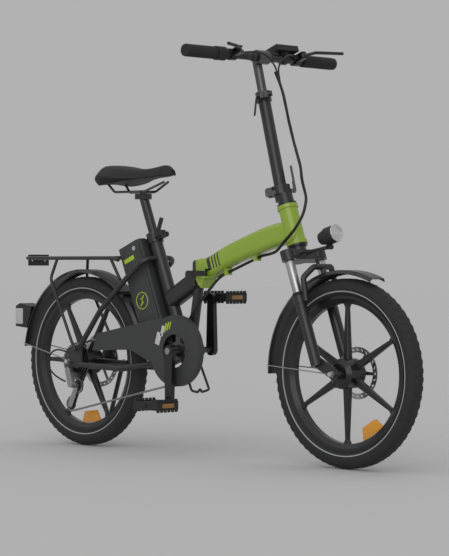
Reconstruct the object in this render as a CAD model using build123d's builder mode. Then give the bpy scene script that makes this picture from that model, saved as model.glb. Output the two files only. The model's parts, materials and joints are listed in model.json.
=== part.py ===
from build123d import *
from math import asin, atan2, cos, degrees, pi, radians, sin, sqrt, tan
import os

# A folding electric bicycle. Millimetres, +X forward, +Y to the rider's left, +Z up.
# The origin is on the ground under the middle of the whole bicycle.

# ---------------------------------------------------------------- driving sizes
wheelbase = 1052.0
tyre_radius = 252.0
tyre_width = 48.0
bar_width = 580.0
tail_reach = 310.0  # rear axle back to the tail lamp's face
crank_length = 150.0

head_angle = 70.2
head_length = 114.0
post_angle = 75.3
seat_angle = 68.0
post_length = 281.0  # fold hinge to the top of the outer post
bar_height = 376.0  # fold hinge to the handlebar, along the post
fork_clearance = 131.3  # tyre crown to the head tube's foot
fork_rake = 57.4
chainstay_clearance = 197.0  # tyre crown to the crank axle

# ---------------------------------------------------------------- fits
running = 0.05  # radial play of a shaft that turns or slides in its bore
apart = 0.3  # air between faces of different bodies
seated = 0.4  # air between a piece and the one that carries it

# ---------------------------------------------------------------- pieces
axle_radius = 5.0
hub_half = 36.0
rear_dropout_half = 64.0
front_dropout_half = 50.0
dropout_thickness = 6.0
rim_radius = 208.0
rim_depth = 22.0
rotor_radius_rear = 80.0
rotor_radius_front = 70.0
rotor_thickness = 2.0
seat_post_radius = 13.6
seat_tube_radius = 19.0
seat_tube_length = 361.0
shell_radius = 21.0
shell_half = 34.0
spindle_radius = 8.5
steerer_radius = 14.3
head_tube_radius = 26.0
stanchion_radius = 12.5
leg_radius = 15.5
leg_side = 60.0
leg_ahead = 11.6
outer_post_radius = 17.0
inner_post_radius = 12.7
bar_radius = 11.0
bar_clamp_radius = 12.7
chain_side = -51.0
chain_half_width = 2.6
chain_half_height = 3.5
chainring_radius = 86.0
sprocket_radius = 44.0
pulley_radius = 17.0
fender_gap = 20.0  # tyre crown to the inside of a mudguard
fender_wall = 2.5
battery_half = 43.0
battery_depth = 98.0
hinge_pin_side = 34.0
hinge_pin_radius = 5.0
stay_radius = 8.0
cable_radius = 4.5

# ---------------------------------------------------------------- frames of reference
axle_height = tyre_radius
rear_x = -(wheelbase + tyre_radius - tail_reach) / 2
front_x = rear_x + wheelbase
bb_ahead = tyre_radius + chainstay_clearance
bb_up = 44.0
across = Vector(0, 1, 0)


def rear(ahead, up, side=0.0):
    """A point measured from the rear axle."""
    return Vector(rear_x + ahead, side, axle_height + up)


def mid(ahead, up, side=0.0):
    """A point measured from the crank axle."""
    return rear(bb_ahead + ahead, bb_up + up, side)


def leaning(angle):
    """The directions up and forward of a line that leans back from the horizontal by an angle."""
    lean = radians(angle)
    return Vector(-cos(lean), 0, sin(lean)), Vector(sin(lean), 0, cos(lean))


steer_up, steer_ahead = leaning(head_angle)
post_up, post_ahead = leaning(post_angle)
seat_up, seat_ahead = leaning(seat_angle)
front_axle = Vector(front_x, 0, axle_height)
fork_length = tyre_radius + fork_clearance
head_foot = front_axle + steer_up * fork_length - steer_ahead * fork_rake
seat_foot = mid(-22, 0)


def fork(ahead, up, side=0.0):
    """A point measured from the head tube's foot, along and across the steering axis."""
    return head_foot + steer_ahead * ahead + steer_up * up + across * side


post_foot = fork(-7, head_length + 48)


def post(ahead, up, side=0.0):
    """A point measured from the middle of the handlepost's fold hinge."""
    return post_foot + post_ahead * ahead + post_up * up + across * side


def seat(back, up, side=0.0):
    """A point measured from the seat tube's foot, behind and along the seat tube."""
    return seat_foot - seat_ahead * back + seat_up * up + across * side


def rod(start, end, radius, mode=Mode.ADD):
    """A round bar between two points, in the part that is being built."""
    with BuildSketch(Plane(origin=start, z_dir=end - start)) as section:
        Circle(radius)
    extrude(section.sketch, amount=(end - start).length, mode=mode)


def cross_rod(centre, low, high, radius, mode=Mode.ADD):
    """A round bar along Y between two sides of a centre point."""
    rod(Vector(centre.X, low, centre.Z), Vector(centre.X, high, centre.Z), radius, mode)


def bent_rod(points, bends, radius):
    """A round bar along straight runs that are joined by arcs."""
    with BuildLine() as path:
        FilletPolyline(*points, radius=bends)
    with BuildSketch(Plane(origin=points[0], z_dir=points[1] - points[0])) as section:
        Circle(radius)
    sweep(section.sketch, path=path.line)


def side_plane(side, centre):
    """A plane seen from the right: local x is forward and local y is up, at a given side."""
    return Plane(origin=(centre.X, side, centre.Z), x_dir=(1, 0, 0), z_dir=(0, -1, 0))


def block(centre, length, width, height, along=Vector(1, 0, 0), upward=Vector(0, 0, 1), mode=Mode.ADD):
    """A box centred on a point, its length and height along two square directions."""
    place = Plane(origin=centre - upward * (height / 2), x_dir=along, z_dir=upward)
    with BuildSketch(place) as section:
        Rectangle(length, width)
    extrude(section.sketch, amount=height, mode=mode)


def ring(centre, low, high, outer, inner):
    """A washer or tube about a line along Y."""
    with BuildSketch(side_plane(high, centre)) as section:
        Circle(outer)
        Circle(inner, mode=Mode.SUBTRACT)
    extrude(section.sketch, amount=high - low)


def link(start, end, start_radius, end_radius, high, thickness, mode=Mode.ADD):
    """A flat bar with round ends between two points, from a side towards the rider's right."""
    run = Vector(end.X - start.X, end.Z - start.Z)
    normal = Vector(-run.Y, run.X).normalized()
    with BuildSketch(side_plane(high, start)) as section:
        Circle(start_radius)
        with Locations((run.X, run.Y)):
            Circle(end_radius)
        with BuildLine():
            Polyline(
                normal * start_radius, run + normal * end_radius, run - normal * end_radius,
                normal * -start_radius, close=True,
            )
        make_face()
    extrude(section.sketch, amount=thickness, mode=mode)


def finish(builder, name):
    """Names a finished piece and writes it."""
    builder.part.label = name
    export_step(builder.part, f"parts/{name}.step")


os.makedirs("parts", exist_ok=True)

# ================================================================ wheels
spoke_count = 6
spoke_root = 22.0
hub_radius = 40.0
crown_flat = 9.0
tyre_wall = 3.5


def wheel_plane(centre):
    """Local x across the wheel, local y outwards from its axle."""
    return Plane(origin=centre, x_dir=(0, 1, 0), z_dir=(1, 0, 0))


def make_wheel(name, centre, first_spoke):
    with BuildPart() as wheel:
        with BuildSketch(wheel_plane(centre)):
            with BuildLine():
                Polyline(
                    (-8, rim_radius - rim_depth), (8, rim_radius - rim_depth), (16, rim_radius - 9),
                    (16, rim_radius), (-16, rim_radius), (-16, rim_radius - 9), close=True,
                )
            make_face()
            with BuildLine():
                Polyline(
                    (-hub_half, 0), (-hub_half, hub_radius - 12), (-hub_half + 9, hub_radius),
                    (hub_half - 9, hub_radius), (hub_half, hub_radius - 12), (hub_half, 0), close=True,
                )
            make_face()
        revolve(axis=Axis(centre, (0, 1, 0)))
        for index in range(spoke_count):
            turn = radians(first_spoke + index * 360 / spoke_count)
            outward = Vector(cos(turn), 0, sin(turn))
            with BuildSketch(Plane(origin=centre + outward * (hub_radius - 6), x_dir=(0, 1, 0), z_dir=outward)):
                RectangleRounded(20, spoke_root, 6)
            with BuildSketch(Plane(origin=centre + outward * (rim_radius - 24), x_dir=(0, 1, 0), z_dir=outward)):
                RectangleRounded(12, spoke_root / 2, 4)
            loft()
            with BuildSketch(Plane(origin=centre + outward * (rim_radius - 34), x_dir=(0, 1, 0), z_dir=outward)):
                RectangleRounded(12, spoke_root / 2, 4)
            with BuildSketch(Plane(origin=centre + outward * (rim_radius - 16), x_dir=(0, 1, 0), z_dir=outward)):
                RectangleRounded(15, spoke_root * 1.3, 5)
            loft()
        cross_rod(centre, -hub_half - 1, hub_half + 1, axle_radius + running, Mode.SUBTRACT)
    finish(wheel, name)
    return wheel


def make_tyre(name, centre):
    half = tyre_width / 2
    waist = (rim_radius + tyre_radius) / 2 - 1
    with BuildPart() as tyre:
        with BuildSketch(wheel_plane(centre)):
            with BuildLine():
                Line((-14, rim_radius), (-9, rim_radius))
                ThreePointArc((-9, rim_radius), (tyre_wall - half, waist), (-7, tyre_radius - tyre_wall))
                Line((-7, tyre_radius - tyre_wall), (7, tyre_radius - tyre_wall))
                ThreePointArc((7, tyre_radius - tyre_wall), (half - tyre_wall, waist), (9, rim_radius))
                Line((9, rim_radius), (14, rim_radius))
                ThreePointArc((14, rim_radius), (half, waist), (crown_flat, tyre_radius))
                Line((crown_flat, tyre_radius), (-crown_flat, tyre_radius))
                ThreePointArc((-crown_flat, tyre_radius), (-half, waist), (-14, rim_radius))
            make_face()
        revolve(axis=Axis(centre, (0, 1, 0)))
    finish(tyre, name)


def make_rotor(name, centre, inner_side, radius):
    """A brake disc with a boss back to the hub, pierced by rows of holes."""
    outer_side = inner_side + rotor_thickness
    with BuildPart() as rotor:
        ring(centre, inner_side, outer_side, radius, radius - 15)
        ring(centre, hub_half, outer_side, 22, 14)
        for turn in range(0, 360, 60):
            spoke = Vector(cos(radians(turn)), 0, sin(radians(turn)))
            middle = centre + spoke * (radius / 2 + 3) + across * (inner_side + rotor_thickness / 2)
            block(middle, radius - 31, rotor_thickness, 9, spoke, Vector(-sin(radians(turn)), 0, cos(radians(turn))))
        with BuildSketch(side_plane(outer_side, centre)):
            with PolarLocations(radius - 7.5, 24):
                SlotOverall(9, 3.4, rotation=55)
        extrude(amount=rotor_thickness, mode=Mode.SUBTRACT)
    finish(rotor, name)


rear_axle_point = rear(0, 0)
rear_rotor_side = 49.0
front_rotor_side = 38.0
make_wheel("rear_wheel", rear_axle_point, 0)
make_wheel("front_wheel", front_axle, 30)
make_tyre("rear_tyre", rear_axle_point)
make_tyre("front_tyre", front_axle)
make_rotor("rear_disc", rear_axle_point, rear_rotor_side, rotor_radius_rear)
make_rotor("front_disc", front_axle, front_rotor_side, rotor_radius_front)


def make_axle(name, centre, half):
    """A wheel axle with its spacers and its nuts outside both dropouts."""
    with BuildPart() as axle:
        cross_rod(centre, -half - dropout_thickness - 14, half + dropout_thickness + 14, axle_radius)
        for side in (-1, 1):
            inner = sorted((side * (hub_half + apart), side * half))
            cross_rod(centre, inner[0], inner[1], 8)
            outer = sorted((side * (half + dropout_thickness), side * (half + dropout_thickness + 8)))
            with BuildSketch(side_plane(outer[1], centre)) as nut:
                RegularPolygon(9, 6)
            extrude(nut.sketch, amount=outer[1] - outer[0])
    finish(axle, name)


make_axle("rear_axle", rear_axle_point, rear_dropout_half)
make_axle("front_axle", front_axle, front_dropout_half)

# ================================================================ rear frame
hinge_x = mid(44, 0).X
hinge_z = mid(0, 220).Z
hinge_low = hinge_z - 42
hinge_high = hinge_z + 38
bridge_angle = radians(47.1)
bridge_reach = tyre_radius + fender_gap + fender_wall + 6.5
bridge_point = rear(bridge_reach * cos(bridge_angle), bridge_reach * sin(bridge_angle))
stay_top = seat(0, 285)
chainstay_side = rear_dropout_half + dropout_thickness / 2
stay_side = 60.0


# the kickstand turns about a tilted line, so its leg goes from the ground to beside the wheel
stand_pivot = rear(48, -12, rear_dropout_half + dropout_thickness + 20)
stand_foot = Vector(rear_x - 110, 165, 0)
stand_down = (stand_foot - stand_pivot).normalized()
stand_folded = Vector(-0.994, 0.07, -0.08).normalized()
stand_swing = (stand_down - stand_folded).normalized()
stand_axis = (across - stand_swing * across.dot(stand_swing)).normalized()


cable_clip = Vector(mid(11, 0).X, -24, mid(0, 60).Z)


def stay_point(share, bulge):
    """A point on the seat stay: a share of the chord from its top bend to the dropout, lifted by a bulge."""
    top = seat(2, 283)
    foot = rear(31, 32)
    chord = foot - top
    return top + chord * share + Vector(-chord.Z, 0, chord.X).normalized() * -bulge


def stay_route(side):
    spread = stay_side + 7
    upper = stay_point(0.28, 15)
    lower = stay_point(0.62, 20)
    foot = stay_point(1.0, 0)
    return [
        stay_top,
        seat(2, 283, side * stay_side),
        Vector(upper.X, side * stay_side, upper.Z),
        Vector(lower.X, side * (stay_side + 4), lower.Z),
        Vector(foot.X, side * spread, foot.Z),
    ]


with BuildPart() as rear_frame:
    rod(seat(0, -8), seat(0, seat_tube_length), seat_tube_radius)
    ring(mid(0, 0), -shell_half, shell_half, shell_radius, 10)
    # stub tube from the seat tube to the hinge casting
    stub_start = seat(0, 154)
    stub_end = Vector(hinge_x - 18, 0, hinge_z - 20)
    stub_run = (stub_end - stub_start).normalized()
    with BuildSketch(Plane(origin=stub_start, x_dir=(0, 1, 0), z_dir=stub_run)):
        RectangleRounded(44, 56, 18)
    extrude(amount=(stub_end - stub_start).length)
    # second tube from the casting down to the crank shell
    rod(mid(2, 8), Vector(hinge_x - 10, 0, hinge_low + 10), 14)
    # hinge casting
    with BuildSketch(Plane(origin=(hinge_x - 44, 0, 0), x_dir=(0, 1, 0), z_dir=(1, 0, 0))):
        with Locations((0, (hinge_low + hinge_high - 30) / 2)):
            RectangleRounded(46, hinge_high - hinge_low - 30, 10)
    extrude(amount=34)
    with BuildSketch(Plane(origin=(hinge_x - 10, 0, 0), x_dir=(0, 1, 0), z_dir=(1, 0, 0))):
        with Locations((0, (hinge_low + hinge_high) / 2)):
            RectangleRounded(52, hinge_high - hinge_low, 12)
    extrude(amount=10 - apart / 2)
    # both tubes are hollow and open into the casting's mouth
    hollow_start = stub_start + stub_run * 24
    hollow_end = Vector(hinge_x - 30, 0, hinge_z - 20)
    with BuildSketch(Plane(origin=hollow_start, x_dir=(0, 1, 0), z_dir=stub_run)):
        RectangleRounded(34, 44, 12)
    extrude(amount=(hollow_end - hollow_start).length, mode=Mode.SUBTRACT)
    rod(mid(12, 60), Vector(hinge_x - 24, 0, hinge_low + 34), 11, Mode.SUBTRACT)
    block(Vector(hinge_x - 20, 0, hinge_z - 8), 60, 26, 34, mode=Mode.SUBTRACT)
    # room for the front half's knuckle to turn
    rod(
        Vector(hinge_x, hinge_pin_side, hinge_low + 20), Vector(hinge_x, hinge_pin_side, hinge_high - 20),
        9.5 + 0.8, Mode.SUBTRACT,
    )
    # two ears for the hinge pin, above and below the front half's knuckle
    for low, high in ((hinge_low + 2, hinge_low + 20), (hinge_high - 20, hinge_high - 2)):
        with BuildSketch(Plane.XY.offset(low)):
            with Locations((hinge_x, hinge_pin_side)):
                Circle(9.5)
            with BuildLine():
                Polyline(
                    (hinge_x - 10, 20), (hinge_x - apart / 2, 20), (hinge_x - apart / 2, hinge_pin_side),
                    (hinge_x - 10, hinge_pin_side), close=True,
                )
            make_face()
        extrude(amount=high - low)
    # chain stays, seat stays and the bridge that carries the mudguard
    for side in (-1, 1):
        chainstay = [
            rear(39, -8, side * chainstay_side),
            rear(bb_ahead * 0.5, -14, side * (chainstay_side - 3)),
            rear(bb_ahead * 0.77, 6, side * 34),
            mid(-12, -6, side * 22),
        ]
        bent_rod(chainstay, [60, 50], 9)
        bent_rod(stay_route(side), [28, 120, 120], stay_radius)
        inner = side * rear_dropout_half
        outer = side * (rear_dropout_half + dropout_thickness)
        with BuildSketch(side_plane(max(inner, outer), rear_axle_point)):
            Circle(17)
            with BuildLine():
                Polyline((-12, 12), (22, 46), (48, 46), (52, -14), (30, -20), (6, -16), close=True)
            make_face()
        extrude(amount=dropout_thickness)
    cross_rod(bridge_point, -stay_side, stay_side, 6)
    # bores: seat tube, crank shell, axle and hinge pin
    rod(seat(0, 60), seat(0, seat_tube_length + 1), seat_post_radius + running, Mode.SUBTRACT)
    cross_rod(mid(0, 0), -shell_half - 1, shell_half + 1, 17, Mode.SUBTRACT)
    cross_rod(rear_axle_point, -80, 80, axle_radius, Mode.SUBTRACT)
    rod(
        Vector(hinge_x, hinge_pin_side, hinge_low - 5), Vector(hinge_x, hinge_pin_side, hinge_high + 5),
        hinge_pin_radius, Mode.SUBTRACT,
    )
    # derailleur hanger under the right dropout
    with BuildSketch(side_plane(-rear_dropout_half, rear_axle_point)):
        with BuildLine():
            Polyline((-16, -2), (12, -14), (12, -34), (-2, -34), close=True)
        make_face()
    extrude(amount=dropout_thickness)
    # a boss on the left dropout for the kickstand's pivot
    rod(stand_pivot - stand_axis * 23, stand_pivot - stand_axis * apart, 12)
    rod(stand_pivot - stand_axis * 20, stand_pivot, 4 + running, Mode.SUBTRACT)
    # a clip for the cables on the second tube
    block(cable_clip + Vector(0, 4, 0), 16, 20, 9)
    rod(cable_clip - Vector(0, 0, 10), cable_clip + Vector(0, 0, 10), cable_radius + seated, Mode.SUBTRACT)
    # a rail behind the seat tube that the battery slides on
    block(seat(seat_tube_radius + 1, 190), 8, 16, 300, -seat_ahead, seat_up)
    block(seat(seat_tube_radius + 3, 190), 4, 26, 300, -seat_ahead, seat_up)
    rod(seat(0, 60), seat(0, seat_tube_length + 1), seat_post_radius + running, Mode.SUBTRACT)
    # clamp collar round the top of the seat tube, split at the front
    rod(seat(0, seat_tube_length - 30), seat(0, seat_tube_length), seat_tube_radius + 4)
    rod(seat(0, 60), seat(0, seat_tube_length + 1), seat_post_radius + running, Mode.SUBTRACT)
    block(seat(-30, seat_tube_length - 15), 18, 22, 22, -seat_ahead, seat_up)
    block(seat(-28, seat_tube_length - 20), 32, 2, 50, -seat_ahead, seat_up, Mode.SUBTRACT)
    cross_rod(seat(-33, seat_tube_length - 15), -20, 20, 3 + running, Mode.SUBTRACT)
finish(rear_frame, "rear_frame")

with BuildPart() as frame_hinge_pin:
    rod(
        Vector(hinge_x, hinge_pin_side, hinge_low - 1), Vector(hinge_x, hinge_pin_side, hinge_high + 1),
        hinge_pin_radius,
    )
finish(frame_hinge_pin, "frame_hinge_pin")

# ================================================================ seat post and saddle
post_top_up = 480.0  # seat foot to the saddle clamp, along the post
saddle_deck = seat(0, post_top_up).Z + 42
saddle_rear = seat(0, post_top_up).X - 140
saddle_length = 265.0
saddle_half = 86.0
rail_radius = 3.5
rail_side = 22.0
rail_height = seat(0, post_top_up).Z + 12

with BuildPart() as seat_post:
    rod(seat(0, 190), seat(0, post_top_up), seat_post_radius)
    rod(seat(0, 191), seat(0, post_top_up - 20), seat_post_radius - 3, Mode.SUBTRACT)
    block(seat(0, post_top_up) + Vector(0, 0, -2), 40, 30, 16)
finish(seat_post, "seat_post")

with BuildPart() as saddle_rails:
    head = seat(0, post_top_up)
    for side in (-1, 1):
        rail = [
            Vector(saddle_rear + 22, side * 34, saddle_deck - 4),
            Vector(saddle_rear + 48, side * 30, rail_height),
            Vector(saddle_rear + 170, side * rail_side, rail_height),
            Vector(saddle_rear + 238, side * 8, saddle_deck - 4),
        ]
        bent_rod(rail, [18, 30], rail_radius)
    block(Vector(head.X, 0, rail_height - 1), 34, 60, 7)
    rod(Vector(head.X, 0, head.Z + 6), Vector(head.X, 0, rail_height), 9)
finish(saddle_rails, "saddle_rails")

with BuildPart() as saddle:
    with BuildSketch(Plane.XY.offset(saddle_deck)):
        with Locations((saddle_rear + 40, saddle_half - 40), (saddle_rear + 40, 40 - saddle_half)):
            Circle(40)
        with Locations((saddle_rear + saddle_length - 20, 0)):
            Circle(20)
        make_hull()
    extrude(amount=44)
    fillet(saddle.faces().sort_by(Axis.Z)[-1].edges(), 8)
    block(Vector(saddle_rear + 24, 0, saddle_deck), 12, 90, 14)
    block(Vector(saddle_rear + 236, 0, saddle_deck + 2), 14, 30, 10)
    for side in (-1, 1):
        start = Vector(saddle_rear + 22, side * 34, saddle_deck - 4)
        toward = Vector(saddle_rear + 48, side * 30, rail_height)
        rod(start - (toward - start) * 0.1, toward, rail_radius + 0.1, Mode.SUBTRACT)
        start = Vector(saddle_rear + 238, side * 8, saddle_deck - 4)
        toward = Vector(saddle_rear + 170, side * rail_side, rail_height)
        rod(start - (toward - start) * 0.1, toward, rail_radius + 0.1, Mode.SUBTRACT)
finish(saddle, "saddle")


# the quick-release of the seat clamp: a pin through the collar's ears, a knob and a lever
seat_clamp = seat(-33, seat_tube_length - 15)
with BuildPart() as seat_clamp_lever:
    cross_rod(seat_clamp, -11 - apart - 12, 11 + apart + 12, 3)
    cross_rod(seat_clamp, 11 + apart, 11 + apart + 9, 8)
    cross_rod(seat_clamp, -11 - apart - 13, -11 - apart, 9)
    block(seat_clamp + Vector(10, -20, 22), 9, 8, 52, Vector(1, 0, 0), Vector(0.4, 0, 1).normalized())
finish(seat_clamp_lever, "seat_clamp_lever")

# ================================================================ battery
battery_front = seat_tube_radius + 5 + apart
battery_low = 22.0
battery_high = 356.0

with BuildPart() as battery_case:
    with BuildSketch(Plane(origin=seat(0, battery_low), x_dir=-seat_ahead, z_dir=seat_up)):
        with Locations((battery_front + battery_depth / 2, 0)):
            RectangleRounded(battery_depth, battery_half * 2, 14)
        with Locations((battery_front, 0)):
            Rectangle(10, 27, mode=Mode.SUBTRACT)
    extrude(amount=battery_high - battery_low)
    # the recess of the carrying handle in the top
    block(seat(battery_front + 52, battery_high - 5), 60, 34, 12, -seat_ahead, seat_up, Mode.SUBTRACT)
finish(battery_case, "battery_case")

# ================================================================ rack
deck_up = 308.0
rack_side = 60.0
rack_wire = 5.5
rack_tail = -225.0
rack_nose = 205.0

with BuildPart() as rack:
    rail_path = [
        rear(rack_nose, deck_up - 6, rack_side), rear(rack_nose - 30, deck_up, rack_side),
        rear(rack_tail, deck_up, rack_side), rear(rack_tail, deck_up, -rack_side),
        rear(rack_nose - 30, deck_up, -rack_side), rear(rack_nose, deck_up - 6, -rack_side),
    ]
    bent_rod(rail_path, [30, 22, 22, 30], rack_wire)
    for ahead in (-160, -70, 30, 140):
        cross_rod(rear(ahead, deck_up), -rack_side, rack_side, 4.5)
    block(rear(-38, deck_up + 3), 372, 46, 5)
    with BuildSketch(Plane.XY.offset(axle_height + deck_up - 4)):
        with Locations((rear_x - 115, 0), (rear_x - 20, 0), (rear_x + 85, 0)):
            SlotOverall(64, 14)
    extrude(amount=12, mode=Mode.SUBTRACT)
    # a plate across the tail for a lamp or a reflector, on two holes
    block(rear(rack_tail - 7, deck_up - 6), 3, 80, 34)
    for side in (-25, 25):
        rod(rear(rack_tail - 12, deck_up - 8, side), rear(rack_tail - 2, deck_up - 8, side), 2.75, Mode.SUBTRACT)
    for side in (-1, 1):
        leg = [
            rear(-70, deck_up, side * rack_side),
            rear(-88, deck_up - 62, side * (rack_side + 12)),
            rear(18, 62, side * (stay_side + 7 + stay_radius + 4.5 + seated + 0.6)),
            rear(36, 34, side * (stay_side + 7 + stay_radius + 4.5 + seated)),
        ]
        bent_rod(leg, [30, 60], 4.5)
        strut_foot = stay_point(0.3, 15)
        chord = (rear(31, 32) - seat(2, 283)).normalized()
        normal = Vector(chord.Z, 0, -chord.X) * -1
        if normal.Z < 0:
            normal = normal * -1
        touch = strut_foot + normal * (stay_radius + 4.5 + seated + 1)
        rod(rear(170, deck_up, side * rack_side), Vector(touch.X, side * stay_side, touch.Z), 4.5)
finish(rack, "rack")

# ================================================================ mudguards and tail lamp


def guard(name, centre, radius, first, last):
    """A mudguard: a shallow channel swept about a wheel's axle between two angles."""
    turn = radians(first)
    outward = Vector(cos(turn), 0, sin(turn))
    place = Plane(origin=centre, x_dir=(0, 1, 0), z_dir=(sin(turn), 0, -cos(turn)))
    with BuildPart() as piece:
        with BuildSketch(place):
            with BuildLine():
                Polyline(
                    (-29, radius - 8), (-22, radius), (22, radius), (29, radius - 8),
                    (29 + 1.5, radius - 8 + fender_wall * 0.6), (23, radius + fender_wall),
                    (-23, radius + fender_wall), (-29 - 1.5, radius - 8 + fender_wall * 0.6), close=True,
                )
            make_face()
        revolve(axis=Axis(centre, (0, -1, 0)), revolution_arc=last - first)
    finish(piece, name)
    del outward


fender_radius = tyre_radius + fender_gap
fender_outer = fender_radius + fender_wall
guard("rear_fender", rear_axle_point, fender_radius, 20, 172)
guard("front_fender", front_axle, fender_radius, 67, 182)

with BuildPart() as tail_light:
    with BuildSketch(side_plane(27, rear_axle_point)):
        with BuildLine():
            Polyline((-tail_reach, 98), (-tail_reach, 160), (-292, 169), (-236, 160), (-250, 93), close=True)
        make_face()
    extrude(amount=54)
    cross_rod(rear_axle_point, -40, 40, fender_outer + seated, Mode.SUBTRACT)
finish(tail_light, "tail_light")

# ================================================================ crank set
with BuildPart() as bottom_bracket:
    cross_rod(mid(0, 0), -shell_half, shell_half, 17 - running)
    cross_rod(mid(0, 0), shell_half + 0.1, shell_half + 3, 20)
    cross_rod(mid(0, 0), -shell_half - 3, -shell_half - 0.1, 20)
    cross_rod(mid(0, 0), -shell_half - 1, shell_half + 1, 14)
    cross_rod(mid(0, 0), -shell_half - 5, shell_half + 5, spindle_radius + running, Mode.SUBTRACT)
finish(bottom_bracket, "bottom_bracket")

arm_inner = 76.0
arm_outer = 90.0
pedal_inner = 94.0
pedal_outer = 178.0
pedal_pin = 6.0

with BuildPart() as crank_right:
    cross_rod(mid(0, 0), -arm_outer, arm_outer - 2, spindle_radius)
    cross_rod(mid(0, 0), -arm_outer, -49, 17)
    link(mid(0, 0), mid(0, -crank_length), 17, 12, -arm_inner, arm_outer - arm_inner)
    cross_rod(mid(0, -crank_length), -pedal_outer - 2, -arm_inner, pedal_pin)
finish(crank_right, "crank_right")

with BuildPart() as crank_left:
    link(mid(0, 0), mid(0, crank_length), 17, 12, arm_outer, arm_outer - arm_inner)
    cross_rod(mid(0, 0), arm_inner - 2, arm_outer, spindle_radius + running, Mode.SUBTRACT)
    cross_rod(mid(0, crank_length), arm_inner, pedal_outer + 2, pedal_pin)
finish(crank_left, "crank_left")

with BuildPart() as chainring:
    ring(mid(0, 0), chain_side - 1.2, chain_side + 1.2, chainring_radius, chainring_radius - 16)
    ring(mid(0, 0), chain_side - 1.2, chain_side + 1.2, 27, 17 + running)
    for turn in range(18, 378, 72):
        spoke = Vector(cos(radians(turn)), 0, sin(radians(turn)))
        middle = mid(0, 0) + spoke * ((chainring_radius + 8) / 2) + across * chain_side
        block(middle, chainring_radius - 32, 2.4, 16, spoke, Vector(-spoke.Z, 0, spoke.X))
finish(chainring, "chainring")


def make_pedal(name, centre, low, high):
    with BuildPart() as pedal:
        middle = Vector(centre.X, (low + high) / 2, centre.Z)
        block(middle, 100, high - low, 24)
        for ahead in (-29, 29):
            block(middle + Vector(ahead, 0, 0), 32, high - low - 22, 30, mode=Mode.SUBTRACT)
        fillet(pedal.edges().filter_by(Axis.Z), 4)
        cross_rod(centre, low, high, 11)
        cross_rod(centre, low - 1, high + 1, pedal_pin + running, Mode.SUBTRACT)
    finish(pedal, name)


make_pedal("pedal_right", mid(0, -crank_length), -pedal_outer, -pedal_inner)
make_pedal("pedal_left", mid(0, crank_length), pedal_inner, pedal_outer)

# ================================================================ chain and gears
chain_gap = chain_half_height + apart
guide_point = rear(14, -72)
tension_point = rear(-14, -128)
# the circles of the chain's centre line in the order it runs, positive where it turns to the left
chain_circles = [
    (mid(0, 0), chainring_radius + chain_gap),
    (rear(0, 0), sprocket_radius + chain_gap),
    (guide_point, -pulley_radius - chain_gap),
    (tension_point, pulley_radius + chain_gap),
]


def chain_outline(offset):
    """Lines and arcs of the chain's closed outline, an offset outside its centre line."""
    count = len(chain_circles)
    headings = []
    for index in range(count):
        here, here_radius = chain_circles[index]
        there, there_radius = chain_circles[(index + 1) % count]
        run = there - here
        length = sqrt(run.X ** 2 + run.Z ** 2)
        headings.append(atan2(run.Z, run.X) - asin((there_radius - here_radius) / length))
    for index in range(count):
        centre, radius = chain_circles[index]
        middle = Vector(centre.X - mid(0, 0).X, centre.Z - mid(0, 0).Z)
        reach = radius + offset
        arriving = headings[index - 1]
        turn = (headings[index] - arriving) % (2 * pi)
        if radius < 0:
            turn = turn - 2 * pi
        points = []
        for share in (0, 0.5, 1):
            heading = arriving + turn * share
            points.append(middle - Vector(-sin(heading), cos(heading)) * reach)
        ThreePointArc(*points)
        following, following_radius = chain_circles[(index + 1) % count]
        next_middle = Vector(following.X - mid(0, 0).X, following.Z - mid(0, 0).Z)
        normal = Vector(-sin(headings[index]), cos(headings[index]))
        Line(points[2], next_middle - normal * (following_radius + offset))


with BuildPart() as chain:
    with BuildSketch(side_plane(chain_side + chain_half_width, mid(0, 0))) as chain_face:
        with BuildLine():
            chain_outline(chain_half_height)
        make_face()
        with BuildLine():
            chain_outline(-chain_half_height)
        make_face(mode=Mode.SUBTRACT)
    extrude(amount=chain_half_width * 2)
finish(chain, "chain")

with BuildPart() as cassette:
    for index, radius in enumerate((56, 50, sprocket_radius, 38, 32)):
        side = chain_side + 8 - index * 4
        cross_rod(rear_axle_point, side - 0.9, side + 0.9, radius)
    cross_rod(rear_axle_point, chain_side - 10, chain_side + 13, 20)
    cross_rod(rear_axle_point, -80, -30, 8 + running, Mode.SUBTRACT)
    with BuildSketch(side_plane(-30, rear_axle_point)):
        with PolarLocations(33, 8):
            Circle(8)
    extrude(amount=18.5, mode=Mode.SUBTRACT)
finish(cassette, "cassette")


def make_pulley(name, centre):
    with BuildPart() as pulley:
        cross_rod(centre, chain_side - 1.1, chain_side + 1.1, pulley_radius)
        cross_rod(centre, chain_side - 4, chain_side + 4, 7)
        cross_rod(centre, chain_side - 6, chain_side + 6, 3 + running, Mode.SUBTRACT)
    finish(pulley, name)


make_pulley("guide_pulley", guide_point)
make_pulley("tension_pulley", tension_point)

with BuildPart() as derailleur:
    hanger_bolt = rear(5, -27)
    link(hanger_bolt, guide_point + Vector(2, 0, 6), 11, 11, -72, 13)
    cross_rod(hanger_bolt, -72, -70 - apart, 8)
    cross_rod(guide_point, -74, chain_side - 4.4, 7)
    link(guide_point, tension_point, 8, 10, chain_side - 4.4, 2)
    link(guide_point, tension_point, 8, 10, chain_side + 6.4, 2)
    for centre in (guide_point, tension_point):
        cross_rod(centre, chain_side - 6, chain_side + 6.4, 3)
finish(derailleur, "derailleur")

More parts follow.
